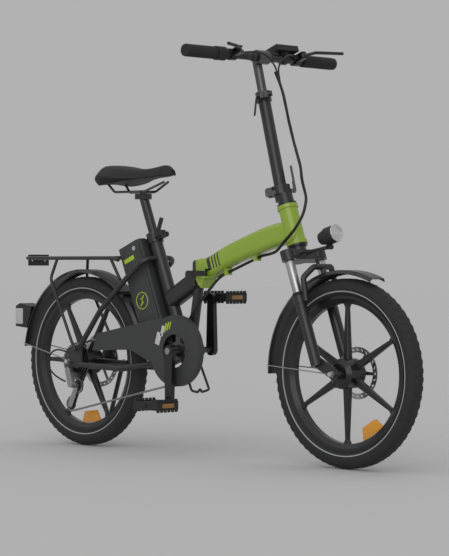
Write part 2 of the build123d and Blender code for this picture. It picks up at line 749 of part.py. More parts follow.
with BuildPart() as chainguard:
    edge = 2.5
    with BuildSketch(side_plane(-63.5, mid(0, 0))) as guard_face:
        Circle(chainring_radius + 15)
        with BuildLine():
            Polyline(
                (95 - bb_ahead, -8), (118 - bb_ahead, 42), (-51, 94), (0, 0), (-97, -36),
                (262 - bb_ahead, -2), close=True,
            )
        make_face()
    extrude(guard_face.sketch, amount=edge)
    cross_rod(mid(0, 0), -70, -60, 47, Mode.SUBTRACT)
    with BuildSketch(side_plane(-46, mid(0, 0))) as guard_wall:
        add(guard_face.sketch_local)
        offset(guard_face.sketch_local, amount=-edge, mode=Mode.SUBTRACT)
    extrude(guard_wall.sketch, amount=17.6)
    # open at the tail for the upper run, and below where the lower run leaves
    block(rear(104, 62, -54), 60, 19, 60, mode=Mode.SUBTRACT)
    exit_run = Vector(cos(radians(12.7)), 0, sin(radians(12.7)))
    block(mid(-28, -98, -54.4), 62, 18, 14, exit_run, Vector(-exit_run.Z, 0, exit_run.X), Mode.SUBTRACT)
    # three arms to a ring that sits against the crank bearing
    for turn in (90, 150, 318):
        spoke = Vector(cos(radians(turn)), 0, sin(radians(turn)))
        block(
            mid(0, 0) + spoke * 56 - across * 45.5, 87, 3, 14, spoke, Vector(-spoke.Z, 0, spoke.X),
        )
    ring(mid(0, 0), -47, -shell_half - 3 - apart, 20, 12)
finish(chainguard, "chainguard")

# ================================================================ brakes and stands
with BuildPart() as rear_caliper:
    reach = Vector(0.68, 0, 0.733).normalized()
    tangent = Vector(-reach.Z, 0, reach.X)
    middle = rear_axle_point + reach * (rotor_radius_rear - 2) + across * 49.8
    block(middle, 32, 15.6, 42, reach, tangent)
    block(middle - reach * 8, 32, 5.2, 60, reach, tangent, Mode.SUBTRACT)
    block(rear(46, 37, 55.4), 12, 4.4, 40)
    cross_rod(rear(45, 27), 53.2, rear_dropout_half - apart, 4.2)
finish(rear_caliper, "rear_caliper")

with BuildPart() as front_caliper:
    block(fork(-17.4, -372, 40.35), 26, 18.7, 52, steer_ahead, steer_up)
    block(fork(-4, -372, 39), 26, 5.2, 60, steer_ahead, steer_up, Mode.SUBTRACT)
finish(front_caliper, "front_caliper")

with BuildPart() as kickstand:
    rod(stand_pivot - stand_axis * 18, stand_pivot + stand_axis * 4, 4)
    rod(stand_pivot, stand_pivot + stand_axis * 15, 12)
    leg_top = stand_pivot + stand_axis * 8
    ankle = Vector(stand_foot.X, stand_foot.Y, 5)
    rod(leg_top, ankle, 7)
    block(Vector(stand_foot.X, stand_foot.Y, 3), 34, 24, 6)
    rod(ankle, Vector(stand_foot.X - 5, stand_foot.Y + 3, -12), 7.5)
    block(Vector(stand_foot.X, stand_foot.Y, -25), 80, 80, 50, mode=Mode.SUBTRACT)
finish(kickstand, "kickstand")

with BuildPart() as wire_stand:
    block(mid(0, -shell_radius - 3 - apart, 0), 20, 70, 6)
    wire_path = [
        mid(-2, -24, 31), mid(38, -112, 36), mid(36, -118, 8), mid(38, -108, 0), mid(36, -118, -8),
        mid(38, -112, -34), mid(-2, -24, -31),
    ]
    bent_rod(wire_path, [8, 6, 4, 6, 8], 3.5)
finish(wire_stand, "wire_stand")

# ================================================================ front frame
hinge_point = Vector(hinge_x, 0, hinge_z)
head_middle = fork(0, 50)


def cable_guide(share):
    """The middle of a cable guide under the main tube."""
    return hinge_point + (head_middle - hinge_point) * share - Vector(0, 0, 35)


def tube_section(share, low, high, half, corner, shell=0.0):
    """A rounded upright section of the main tube, at a share of the way from the fold hinge to the head."""
    base = hinge_point + (head_middle - hinge_point) * share
    place = Plane(origin=(base.X, 0, base.Z), x_dir=(0, 1, 0), z_dir=(1, 0, 0))
    with BuildSketch(place) as section:
        with Locations((0, (low + high) / 2)):
            RectangleRounded((half - shell) * 2, high - low - shell * 2, corner - shell)
    return section.sketch


tube_sections = [
    (0.034, -22, 38, 25, 12), (0.156, -29, 32, 27, 16), (0.307, -23, 38, 27, 18),
    (0.497, -24, 39, 27, 18), (0.70, -28, 37, 27, 18), (0.93, -36, 26, 23, 16), (1.0, -34, 20, 20, 14),
]

with BuildPart() as front_frame:
    loft([tube_section(*item) for item in tube_sections])
    # D-shaped hinge plate
    with BuildSketch(side_plane(24, hinge_point)):
        with BuildLine():
            Polyline(
                (apart / 2, hinge_high - hinge_z), (14, hinge_high - hinge_z + 1), (36, 20), (34, -20), (23, -42),
                (10, -32), (apart / 2, -16), close=True,
            )
        make_face()
    extrude(amount=48)
    loft([tube_section(*item, 4.5) for item in tube_sections[:-1]], mode=Mode.SUBTRACT)
    block(hinge_point + Vector(10, 0, 8), 30, 24, 30, mode=Mode.SUBTRACT)
    # knuckle on the hinge pin, between the rear half's two ears
    low = hinge_low + 20 + apart
    high = hinge_high - 20 - apart
    rod(Vector(hinge_x, hinge_pin_side, low), Vector(hinge_x, hinge_pin_side, high), 9.5)
    block(
        Vector(hinge_x + apart / 2 + 5, (18 + hinge_pin_side) / 2, (low + high) / 2), 10,
        hinge_pin_side - 18, high - low,
    )
    rod(
        Vector(hinge_x, hinge_pin_side, hinge_low), Vector(hinge_x, hinge_pin_side, hinge_high),
        hinge_pin_radius + running, Mode.SUBTRACT,
    )
    # head tube with flared ends
    rod(fork(0, 0), fork(0, head_length), head_tube_radius)
    rod(fork(0, 0), fork(0, 10), head_tube_radius + 3)
    rod(fork(0, head_length - 10), fork(0, head_length), head_tube_radius + 3)
    rod(fork(0, -1), fork(0, head_length + 1), 22, Mode.SUBTRACT)
    # lugs for the latch of the fold hinge, on the right
    latch_pivot = Vector(hinge_x + 50, -37, hinge_z)
    for level in (-12, 9):
        block(latch_pivot + Vector(0, 5.5, level + 1.5), 14, 21, 5)
    rod(latch_pivot - Vector(0, 0, 14), latch_pivot + Vector(0, 0, 14), 3)
    # guides for the cables under the tube
    for share in (0.3, 0.62):
        block(cable_guide(share) + Vector(0, 0, 3), 12, 20, 20)
    rod(cable_guide(0.26), cable_guide(0.66), cable_radius + seated, Mode.SUBTRACT)
finish(front_frame, "front_frame")

with BuildPart() as headset:
    for low, high, flange_low, flange_high in (
        (0, 12, -6, -apart), (head_length - 12, head_length, head_length + apart, head_length + 6),
    ):
        rod(fork(0, low), fork(0, high), 22 - running)
        rod(fork(0, flange_low), fork(0, flange_high), 27)
        rod(fork(0, min(low, flange_low)), fork(0, max(high, flange_high)), 20)
    rod(fork(0, -10), fork(0, head_length + 10), steerer_radius + running, Mode.SUBTRACT)
finish(headset, "headset")

with BuildPart() as frame_latch_lever:
    rod(latch_pivot - Vector(0, 0, 7.5), latch_pivot + Vector(0, 0, 7.5), 6.5)
    block(latch_pivot + Vector(-22, -3, 0), 44, 8, 15)
    block(latch_pivot + Vector(-52, -1, 0), 18, 14, 15)
    rod(latch_pivot - Vector(0, 0, 9), latch_pivot + Vector(0, 0, 9), 3 + running, Mode.SUBTRACT)
finish(frame_latch_lever, "frame_latch_lever")

# ================================================================ fork
crown_top = -20.0
steerer_top = head_length + 40
lamp_pivot = fork(110, -45)

with BuildPart() as fork_upper:
    rod(fork(0, crown_top - 8), fork(0, steerer_top), steerer_radius)
    rod(fork(0, crown_top), fork(0, -6 - apart), 21)
    block(fork(6, crown_top - 14, 0), 32, 116, 28, steer_ahead, steer_up)
    rod(fork(0, crown_top - 28), fork(0, crown_top), 22)
    for side in (-leg_side, leg_side):
        rod(fork(leg_ahead, crown_top - 28, side), fork(leg_ahead, crown_top, side), 20)
        rod(fork(leg_ahead, -290, side), fork(leg_ahead, crown_top - 4, side), stanchion_radius)
        # two wires that carry the headlight
    for side in (-13, 13):
        rod(fork(12, crown_top - 8, side), lamp_pivot + across * side, 3)
        rod(lamp_pivot + across * side, lamp_pivot, 3)
    rod(fork(0, -5), fork(0, steerer_top + 1), steerer_radius - 3, Mode.SUBTRACT)
finish(fork_upper, "fork_upper")

with BuildPart() as headlight:
    lamp_back = lamp_pivot + Vector(-29, 0, 22)
    lamp_front = lamp_pivot + Vector(25, 0, 37)
    lamp_run = (lamp_front - lamp_back).normalized()
    with BuildSketch(Plane(origin=lamp_back, z_dir=lamp_run)):
        Circle(17)
    with BuildSketch(Plane(origin=lamp_back + lamp_run * 22, z_dir=lamp_run)):
        Circle(23)
    loft()
    rod(lamp_back + lamp_run * 22, lamp_front, 24)
    rod(lamp_front - lamp_run * 3, lamp_front + lamp_run, 21, Mode.SUBTRACT)
    cross_rod(lamp_pivot, -8, 8, 7)
    block(lamp_pivot + Vector(-1, 0, 7), 9, 12, 10)
    cross_rod(lamp_pivot, -9, 9, 3 + running, Mode.SUBTRACT)
finish(headlight, "headlight")

arch_point = fork(66.7, -85.9)

with BuildPart() as fork_lower:
    for side in (-1, 1):
        rod(fork(leg_ahead, -345, side * leg_side), fork(leg_ahead, -150, side * leg_side), leg_radius)
        rod(fork(leg_ahead, -172, side * leg_side), fork(leg_ahead, -150, side * leg_side), leg_radius + 2)
        outer = front_dropout_half + dropout_thickness if side > 0 else -front_dropout_half
        link(fork(leg_ahead, -335), front_axle, 15, 16, outer, dropout_thickness)
    arch = [
        fork(leg_ahead + 22, -170, leg_side), fork(44, -108, leg_side), arch_point + across * 34,
        arch_point - across * 34, fork(44, -108, -leg_side), fork(leg_ahead + 22, -170, -leg_side),
    ]
    bent_rod(arch, [16, 14, 14, 16], 8)
    inward = (front_axle - arch_point).normalized()
    rod(arch_point, front_axle - inward * (fender_outer + 0.5), 7)
    # a tab on the left for the brake
    block(
        fork(-16, -372, front_dropout_half + dropout_thickness / 2), 30, dropout_thickness, 52,
        steer_ahead, steer_up,
    )
    block(
        fork(4, -352, front_dropout_half + dropout_thickness / 2), 26, dropout_thickness, 28,
        steer_ahead, steer_up,
    )
    cross_rod(front_axle, -80, 80, axle_radius, Mode.SUBTRACT)
    for side in (-leg_side, leg_side):
        rod(fork(leg_ahead, -338, side), fork(leg_ahead, -149, side), stanchion_radius + running, Mode.SUBTRACT)
finish(fork_lower, "fork_lower")

# ================================================================ handlepost
fold_side = (post_ahead + across) * -sqrt(0.5)  # towards the fold hinge's pin, rear right
fold_axis = (post_ahead - across) * sqrt(0.5)
fold_pin = post_foot + fold_side * 36
latch_pin = post_foot - fold_side * 35 - post_up * 6

with BuildPart() as handlepost_base:
    rod(fork(0, head_length + 6 + apart), fork(0, head_length + 34), 22)
    rod(post(0, -30), post(0, -6), 21)
    rod(post(0, -12), post(0, 0), 26)
    for low, high in ((-22, -8), (8, 22)):
        rod(fold_pin + fold_axis * low, fold_pin + fold_axis * high, 9)
        block(
            post_foot + fold_side * 26 + fold_axis * ((low + high) / 2) - post_up * 6, 20, high - low, 11.4,
            fold_side, post_up,
        )
    rod(fold_pin - fold_axis * 22, fold_pin + fold_axis * 22, 4)
    # lug and pin of the latch, opposite the hinge pin
    block(post_foot - fold_side * 29 - post_up * 6, 12, 10, 10, fold_side, post_up)
    rod(latch_pin - fold_axis * 5, latch_pin + fold_axis * 5, 5)
    rod(latch_pin - fold_axis * 10, latch_pin + fold_axis * 10, 3)
    rod(fork(0, head_length), fork(0, steerer_top + 0.4), steerer_radius + running, Mode.SUBTRACT)
finish(handlepost_base, "handlepost_base")

with BuildPart() as handlepost_latch_lever:
    for low, high in ((-9, -5 - apart), (5 + apart, 9)):
        rod(latch_pin + fold_axis * low, latch_pin + fold_axis * high, 6)
        block(
            latch_pin + fold_axis * ((low + high) / 2) + post_up * 12 - fold_side * 2, 8, high - low, 26,
            fold_side, post_up,
        )
    block(latch_pin + post_up * 42 - fold_side * 3, 6, 18, 52, fold_side, post_up)
    rod(latch_pin - fold_axis * 11, latch_pin + fold_axis * 11, 3 + running, Mode.SUBTRACT)
finish(handlepost_latch_lever, "handlepost_latch_lever")

with BuildPart() as handlepost:
    rod(post(0, apart), post(0, 12), 26)
    block(post_foot + fold_side * 22 + post_up * 6.15, 28, 14.6, 11.7, fold_side, post_up)
    rod(fold_pin - fold_axis * 7.6, fold_pin + fold_axis * 7.6, 9)
    rod(post(0, 4), post(0, post_length), outer_post_radius)
    rod(post(0, post_length - 28), post(0, post_length), 21)
    clamp_eye = post_foot + post_up * (post_length - 14) + fold_axis * 27
    block(clamp_eye, 20, 22, 20, fold_axis, post_up)
    block(
        post_foot + post_up * (post_length - 14) + fold_axis * 26, 32, 2, 32, fold_axis, post_up,
        Mode.SUBTRACT,
    )
    rod(post(0, 20), post(0, post_length + 1), inner_post_radius + running, Mode.SUBTRACT)
    rod(clamp_eye - fold_side * 20, clamp_eye + fold_side * 20, 3 + running, Mode.SUBTRACT)
    # the pin of the fold hinge passes through the middle knuckle
    rod(fold_pin - fold_axis * 12, fold_pin + fold_axis * 12, 4 + running, Mode.SUBTRACT)
finish(handlepost, "handlepost")

with BuildPart() as post_clamp_lever:
    rod(clamp_eye - fold_side * 24, clamp_eye + fold_side * 20, 3)
    rod(clamp_eye - fold_side * 24, clamp_eye - fold_side * (11 + apart), 8)
    rod(clamp_eye + fold_side * (11 + apart), clamp_eye + fold_side * 20, 7)
    # an open loop of wire
    loop = [
        clamp_eye + fold_side * 16 + fold_axis * 3, clamp_eye + fold_side * 22 + fold_axis * 8 - post_up * 10,
        clamp_eye + fold_side * 34 + fold_axis * 8 - post_up * 52,
        clamp_eye + fold_side * 34 - fold_axis * 8 - post_up * 52,
        clamp_eye + fold_side * 22 - fold_axis * 8 - post_up * 10, clamp_eye + fold_side * 16 - fold_axis * 3,
    ]
    bent_rod(loop, [3, 6, 6, 3], 2.5)
finish(post_clamp_lever, "post_clamp_lever")

# ================================================================ handlebar
bar_centre = post(20, bar_height)

with BuildPart() as bar_stem:
    rod(post(0, 150), post(0, bar_height - 4), inner_post_radius)
    cross_rod(bar_centre, -22, 22, 19)
    rod(post(0, 149), post(0, bar_height - 40), inner_post_radius - 2.5, Mode.SUBTRACT)
    cross_rod(bar_centre, -23, 23, bar_clamp_radius + running, Mode.SUBTRACT)
finish(bar_stem, "bar_stem")

with BuildPart() as handlebar:
    cross_rod(bar_centre, -40, 40, bar_clamp_radius)
    cross_rod(bar_centre, -bar_width / 2 + 4, bar_width / 2 - 4, bar_radius)
    cross_rod(bar_centre, -bar_width / 2, bar_width / 2, bar_radius - 2.2, Mode.SUBTRACT)
finish(handlebar, "handlebar")

with BuildPart() as grips:
    for low, high in ((-bar_width / 2, -bar_width / 2 + 110), (bar_width / 2 - 130, bar_width / 2)):
        cross_rod(bar_centre, low, high, 16.5)
        inner = low + 4 if low < 0 else low - 1
        outer = high + 1 if low < 0 else high - 4
        cross_rod(bar_centre, inner, outer, bar_radius + running, Mode.SUBTRACT)
finish(grips, "grips")

with BuildPart() as twist_shifter:
    cross_rod(bar_centre, -bar_width / 2 + 112, -bar_width / 2 + 145, 19)
    cross_rod(bar_centre, -bar_width / 2 + 145, -bar_width / 2 + 150, 16)
    cross_rod(bar_centre, -bar_width / 2, 0, bar_radius + running, Mode.SUBTRACT)
finish(twist_shifter, "twist_shifter")

lever_ahead = Vector(cos(radians(20)), 0, sin(radians(20)))
lever_up = Vector(-lever_ahead.Z, 0, lever_ahead.X)
lever_spots = ((-1, 115.0, 62.0, 70.0), (1, 135.0, 68.0, 127.0))


def lever_point(side, along, ahead, up=0.0):
    """A point by the handlebar: a distance along it, ahead of it and square to both."""
    return bar_centre + across * (side * along) + lever_ahead * ahead + lever_up * up


with BuildPart() as brake_perches:
    for side, along, reach, length in lever_spots:
        low, high = sorted((side * (along - 10), side * (along + 10)))
        cross_rod(bar_centre, low, high, 16)
        eye = lever_point(side, along, 32)
        for level in (-8, 8):
            block(lever_point(side, along, 24, level), 30, 16, 4.6, lever_ahead, lever_up)
        rod(eye - lever_up * 10, eye + lever_up * 10, 3)
        block(lever_point(side, along - 12, 17), 14, 26, 10, lever_ahead, lever_up)
    cross_rod(bar_centre, -200, 200, bar_radius + running, Mode.SUBTRACT)
finish(brake_perches, "brake_perches")


def make_brake_lever(name, side, along, reach, length):
    with BuildPart() as lever:
        eye = lever_point(side, along, 32)
        rod(eye - lever_up * 5.3, eye + lever_up * 5.3, 7)
        blade = [
            eye, lever_point(side, along + 26, reach - 10), lever_point(side, along + length, reach),
        ]
        bent_rod(blade, 14, 4.5)
        rod(eye - lever_up * 7, eye + lever_up * 7, 3 + running, Mode.SUBTRACT)
    finish(lever, name)


make_brake_lever("brake_lever_right", *lever_spots[0])
make_brake_lever("brake_lever_left", *lever_spots[1])

with BuildPart() as display:
    cross_rod(bar_centre, 78, 94, 15.5)
    block(bar_centre + Vector(-10, 90, 23), 52, 86, 16, lever_ahead, lever_up)
    block(bar_centre + Vector(-4, 86, 12), 14, 14, 16)
    cross_rod(bar_centre, 40, 120, bar_radius + running, Mode.SUBTRACT)
finish(display, "display")

# ================================================================ cables


def bend_radii(points):
    """The radius of each corner of a route, as large as its two runs allow."""
    radii = []
    for before, here, after in zip(points, points[1:], points[2:]):
        turn = radians((here - before).get_angle(after - here))
        radii.append(0.45 * min((here - before).length, (after - here).length) / tan(turn / 2))
    return radii


def cable(points, radius):
    radii = bend_radii(points)
    bent_rod(points, radii, radius)
    print("bend radii", [round(value, 1) for value in radii])


# where the bundle passes from one moving piece to the next, each time in a straight run
bundle_top = post(66, 318, -6)
bundle_low = post(80, 210, -6)
bundle_front = fork(84, 132, -10)
fold_start = hinge_point + Vector(50, -20, -48)
fold_run = (fold_start - cable_guide(0.2)).normalized()

with BuildPart() as bar_cables:
    cable([bundle_top, post(80, 262, -6), bundle_low], cable_radius)
    cable([
        lever_point(-1, 90, 17), lever_point(-1, 68, 30, -1), lever_point(-1, 36, 50, -14),
        post(70, 334, -9), post(75, 280, -7),
    ], 2.5)
    cable([
        lever_point(1, 110, 22), lever_point(1, 86, 36, -4), lever_point(1, 44, 56, -14),
        post(76, 334, 0), post(77, 280, -4),
    ], 2.5)
finish(bar_cables, "bar_cables")

with BuildPart() as post_cables:
    cable([
        bundle_low, post(80, 180, -6), post(88, 100, -8), post(94, 40, -9), fork(84, 160, -10), bundle_front,
    ], cable_radius)
finish(post_cables, "post_cables")

with BuildPart() as head_cables:
    cable([
        bundle_front, fork(84, 104, -10), fork(72, 62, -26), fork(38, 28, -42), fork(-4, 10, -46),
        fork(-44, -2, -38), cable_guide(0.80) + Vector(0, -16, -11), cable_guide(0.68), cable_guide(0.62),
    ], cable_radius)
finish(head_cables, "head_cables")

with BuildPart() as frame_cables:
    cable([cable_guide(0.62), cable_guide(0.2), fold_start], cable_radius)
finish(frame_cables, "frame_cables")

with BuildPart() as fold_cables:
    cable([
        fold_start, fold_start + fold_run * 26, hinge_point + Vector(4, -27, -104),
        cable_clip + Vector(0, 0, 22), cable_clip,
    ], cable_radius)
finish(fold_cables, "fold_cables")
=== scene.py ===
# %% [markdown]
# # A folding electric bicycle
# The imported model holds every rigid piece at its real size. This script gives each of them a finish, and adds
# the pieces whose shape is a matter of looks: the saddle's cover, the chain's links, treads, lamps and marks.

# %% Load the frame
import json
import math

import bpy
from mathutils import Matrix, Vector


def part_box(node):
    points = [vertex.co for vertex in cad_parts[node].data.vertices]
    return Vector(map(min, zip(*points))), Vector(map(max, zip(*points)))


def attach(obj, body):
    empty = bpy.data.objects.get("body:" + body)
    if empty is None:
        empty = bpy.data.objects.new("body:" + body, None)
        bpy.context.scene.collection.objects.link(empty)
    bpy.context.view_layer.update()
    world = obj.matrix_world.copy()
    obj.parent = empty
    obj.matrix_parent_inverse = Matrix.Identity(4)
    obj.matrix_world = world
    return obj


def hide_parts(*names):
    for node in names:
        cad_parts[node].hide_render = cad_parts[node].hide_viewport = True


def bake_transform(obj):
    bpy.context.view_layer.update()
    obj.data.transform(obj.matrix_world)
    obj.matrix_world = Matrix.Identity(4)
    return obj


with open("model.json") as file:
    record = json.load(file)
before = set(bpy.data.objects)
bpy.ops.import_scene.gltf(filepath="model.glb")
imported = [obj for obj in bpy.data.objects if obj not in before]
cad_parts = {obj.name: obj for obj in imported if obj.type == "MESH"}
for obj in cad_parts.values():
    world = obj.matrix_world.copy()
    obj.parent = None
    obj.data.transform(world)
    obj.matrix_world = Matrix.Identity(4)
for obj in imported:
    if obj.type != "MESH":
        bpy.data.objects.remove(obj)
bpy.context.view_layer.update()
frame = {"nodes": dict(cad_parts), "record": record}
joints = {joint["name"]: joint for joint in frame["record"]["behaviour"]["joints"]}


# %% [markdown]
# The joints of the record say where the axles and the slides are. Every added piece is placed from them, by
# offsets chosen for its own shape.

# %% Places taken from the joints
def pivot(name):
    """Where a joint turns, in metres."""
    return Vector(joints[name]["pos_m"])


def direction(name):
    """The line that a joint turns about or slides along."""
    return Vector(joints[name]["axis"]).normalized()


rear_axle = pivot("rear_wheel_spin")
front_axle = pivot("front_wheel_spin")
crank_axle = pivot("crank_spin")
across = Vector((0, 1, 0))
seat_up = direction("seat_height")
seat_ahead = across.cross(seat_up).normalized()
steer_up = direction("steering")
steer_ahead = across.cross(steer_up).normalized()
head_foot = pivot("steering")
post_up = direction("bar_height")
post_ahead = across.cross(post_up).normalized()
bar_centre = pivot("twist_shift")
bar_centre.y = 0


def seat_place(back, up, side=0.0):
    """A point behind and along the seat tube, in metres, from its foot."""
    return crank_axle + Vector((-0.022, 0, 0)) - seat_ahead * back + seat_up * up + across * side


def fork_place(ahead, up, side=0.0):
    """A point ahead of and along the steering axis, from the head tube's foot."""
    return head_foot + steer_ahead * ahead + steer_up * up + across * side


def round_place(centre, radius, degrees, side=0.0):
    """A point on a circle about an axle, its angle counted from straight ahead and up."""
    turn = math.radians(degrees)
    return centre + Vector((math.cos(turn) * radius, side, math.sin(turn) * radius))


print("wheelbase", round(front_axle.x - rear_axle.x, 3))


# %% [markdown]
# ## Finishes
# Paint, plastic and rubber differ less in colour than in how they break up light. One function builds the
# common ground: a base colour that drifts a little over the surface, a roughness that drifts with it, and a
# fine grain as bump. Everything reads Object coordinates, so the pattern keeps its real size on every piece.

# %% The common ground of a finish
def finish(name, colour, metallic=0.0, roughness=0.5, drift=0.12, grain=0.0, grain_scale=600.0, coat=0.0):
    """A material whose colour, roughness and fine grain vary over the surface."""
    material = bpy.data.materials.new(name)
    material.use_nodes = True
    nodes = material.node_tree.nodes
    links = material.node_tree.links
    shader = nodes["Principled BSDF"]
    shader.inputs["Metallic"].default_value = metallic
    shader.inputs["Coat Weight"].default_value = coat
    shader.inputs["Coat Roughness"].default_value = 0.12
    place = nodes.new("ShaderNodeTexCoord")
    clouds = nodes.new("ShaderNodeTexNoise")
    clouds.inputs["Scale"].default_value = 14
    clouds.inputs["Detail"].default_value = 5
    links.new(place.outputs["Object"], clouds.inputs["Vector"])
    tint = nodes.new("ShaderNodeMix")
    tint.name = "tint"
    tint.data_type = "RGBA"
    tint.inputs["A"].default_value = (*[value * (1 - drift) for value in colour], 1)
    tint.inputs["B"].default_value = (*[min(1, value * (1 + drift)) for value in colour], 1)
    links.new(clouds.outputs["Fac"], tint.inputs["Factor"])
    links.new(tint.outputs["Result"], shader.inputs["Base Color"])
    gloss = nodes.new("ShaderNodeMapRange")
    gloss.inputs["To Min"].default_value = max(0.03, roughness - 0.08)
    gloss.inputs["To Max"].default_value = min(1, roughness + 0.08)
    links.new(clouds.outputs["Fac"], gloss.inputs["Value"])
    links.new(gloss.outputs["Result"], shader.inputs["Roughness"])
    if grain:
        fine = nodes.new("ShaderNodeTexNoise")
        fine.inputs["Scale"].default_value = grain_scale
        fine.inputs["Detail"].default_value = 3
        links.new(place.outputs["Object"], fine.inputs["Vector"])
        bump = nodes.new("ShaderNodeBump")
        bump.inputs["Strength"].default_value = grain
        bump.inputs["Distance"].default_value = 0.0006
        links.new(fine.outputs["Fac"], bump.inputs["Height"])
        links.new(bump.outputs["Normal"], shader.inputs["Normal"])
    return material


black_paint = finish("black_paint", (0.018, 0.018, 0.02), roughness=0.38, grain=0.12, coat=0.25)
black_alloy = finish(
    "black_alloy", (0.012, 0.012, 0.013), metallic=0.2, roughness=0.32, grain=0.1, coat=0.3
)
grey_plastic = finish("grey_plastic", (0.045, 0.046, 0.048), roughness=0.55, grain=0.35, grain_scale=1400)
black_plastic = finish("black_plastic", (0.016, 0.016, 0.017), roughness=0.5, grain=0.3, grain_scale=1300)
rubber = finish("rubber", (0.014, 0.014, 0.014), roughness=0.78, grain=0.4, grain_scale=900, drift=0.25)
grip_rubber = finish("grip_rubber", (0.02, 0.02, 0.021), roughness=0.7, grain=0.5, grain_scale=700, drift=0.2)
tyre_rubber = finish(
    "tyre_rubber", (0.02, 0.02, 0.0205), roughness=0.75, grain=0.35, grain_scale=500, drift=0.3
)
steel = finish("steel", (0.42, 0.42, 0.43), metallic=1.0, roughness=0.32, grain=0.15, grain_scale=300)
dark_steel = finish(
    "dark_steel", (0.14, 0.14, 0.145), metallic=1.0, roughness=0.38, grain=0.2, grain_scale=300
)
chrome = finish("chrome", (0.72, 0.72, 0.74), metallic=1.0, roughness=0.14, drift=0.04)
silver = finish("silver", (0.5, 0.5, 0.51), metallic=1.0, roughness=0.3, grain=0.1)
amber = finish("amber", (0.72, 0.30, 0.012), roughness=0.22, drift=0.2, coat=0.6)
pedal_amber = finish("pedal_amber", (0.33, 0.15, 0.03), roughness=0.3, drift=0.2, coat=0.5)
lime_mark = finish("lime_mark", (0.42, 0.62, 0.03), roughness=0.45)
white_mark = finish("white_mark", (0.62, 0.62, 0.6), roughness=0.5)
reflective = finish("reflective", (0.4, 0.41, 0.42), roughness=0.35, grain=0.4, grain_scale=900)
print("finishes", len(bpy.data.materials))

# %% [markdown]
# The main tube is lime lacquer with one wide and three narrow dark bands near the hinge. They are paint, so
# they are made in the material: the distance along the tube picks the band, and a height keeps the underside
# plain.

# %% Lime lacquer with painted bands
lime_paint = finish("lime_paint", (0.30, 0.44, 0.03), roughness=0.33, drift=0.05, grain=0.06, coat=0.5)


def add_bands(material, origin, along, bands, colour):
    """Paints bands across a tube: pairs of distances from an origin, in metres along a direction."""
    nodes = material.node_tree.nodes
    links = material.node_tree.links
    place = nodes.new("ShaderNodeTexCoord")
    shift = nodes.new("ShaderNodeVectorMath")
    shift.operation = "SUBTRACT"
    shift.inputs[1].default_value = origin
    links.new(place.outputs["Object"], shift.inputs[0])
    reach = nodes.new("ShaderNodeVectorMath")
    reach.operation = "DOT_PRODUCT"
    reach.inputs[1].default_value = along
    links.new(shift.outputs["Vector"], reach.inputs[0])
    total = None
    for low, high in bands:
        inside = nodes.new("ShaderNodeMath")
        inside.operation = "COMPARE"
        inside.inputs[1].default_value = (low + high) / 2
        inside.inputs[2].default_value = (high - low) / 2
        links.new(reach.outputs["Value"], inside.inputs[0])
        if total is None:
            total = inside
            continue
        both = nodes.new("ShaderNodeMath")
        both.operation = "MAXIMUM"
        links.new(total.outputs[0], both.inputs[0])
        links.new(inside.outputs[0], both.inputs[1])
        total = both
    rise = Vector((-along[2], 0, along[0]))
    height = nodes.new("ShaderNodeVectorMath")
    height.operation = "DOT_PRODUCT"
    height.inputs[1].default_value = rise
    links.new(shift.outputs["Vector"], height.inputs[0])
    above = nodes.new("ShaderNodeMath")
    above.operation = "GREATER_THAN"
    above.inputs[1].default_value = -0.012
    links.new(height.outputs["Value"], above.inputs[0])
    mask = nodes.new("ShaderNodeMath")
    mask.operation = "MULTIPLY"
    links.new(total.outputs[0], mask.inputs[0])
    links.new(above.outputs[0], mask.inputs[1])
    tint = nodes["tint"]
    paint = nodes.new("ShaderNodeMix")
    paint.data_type = "RGBA"
    paint.inputs["B"].default_value = (*colour, 1)
    links.new(mask.outputs[0], paint.inputs["Factor"])
    links.new(tint.outputs["Result"], paint.inputs["A"])
    links.new(paint.outputs["Result"], nodes["Principled BSDF"].inputs["Base Color"])


hinge = pivot("frame_fold")
tube_along = Vector((0.945, 0, 0.328))
add_bands(
    lime_paint, (hinge.x, 0, hinge.z), tube_along,
    [(0.056, 0.069), (0.076, 0.081), (0.088, 0.093), (0.1, 0.105)], (0.015, 0.015, 0.016),
)

# %% Finishes on the rigid nodes
node_finish = {
    lime_paint: ["front_frame"],
    black_paint: ["rear_frame", "rack", "fork_upper", "fork_lower", "handlepost_base", "handlepost",
                  "handlebar", "kickstand", "seat_post", "front_fender", "rear_fender"],
    black_alloy: ["headset", "rear_wheel", "front_wheel", "rear_caliper", "front_caliper", "crank_right",
                  "crank_left", "brake_perches", "frame_latch_lever", "handlepost_latch_lever",
                  "brake_lever_right", "brake_lever_left", "seat_clamp_lever", "wire_stand",
                  "post_clamp_lever"],
    dark_steel: ["chainring", "cassette", "saddle_rails", "bottom_bracket", "bar_stem"],
    steel: ["rear_disc", "front_disc", "rear_axle", "front_axle", "frame_hinge_pin", "chain", "derailleur"],
    grey_plastic: ["chainguard", "battery_case"],
    black_plastic: ["display", "pedal_right", "pedal_left", "guide_pulley", "tension_pulley", "headlight",
                    "tail_light"],
    grip_rubber: ["grips", "twist_shifter"],
    tyre_rubber: ["rear_tyre", "front_tyre"],
    rubber: ["saddle", "bar_cables", "post_cables", "head_cables", "frame_cables", "fold_cables"],
}
for material, names in node_finish.items():
    for name in names:
        node = frame["nodes"][name]
        node.data.materials.clear()
        node.data.materials.append(material)


# %% [markdown]
# ## Helpers for modelling
# An operator works on what is selected, so each piece starts from an empty selection. When it is finished its
# place goes into its mesh, it gets its finish, and it rides on a body.

# %% Start and settle a piece
def start():
    """Leaves edit mode with nothing selected."""
    if bpy.context.mode != "OBJECT":
        bpy.ops.object.mode_set(mode="OBJECT")
    bpy.ops.object.select_all(action="DESELECT")


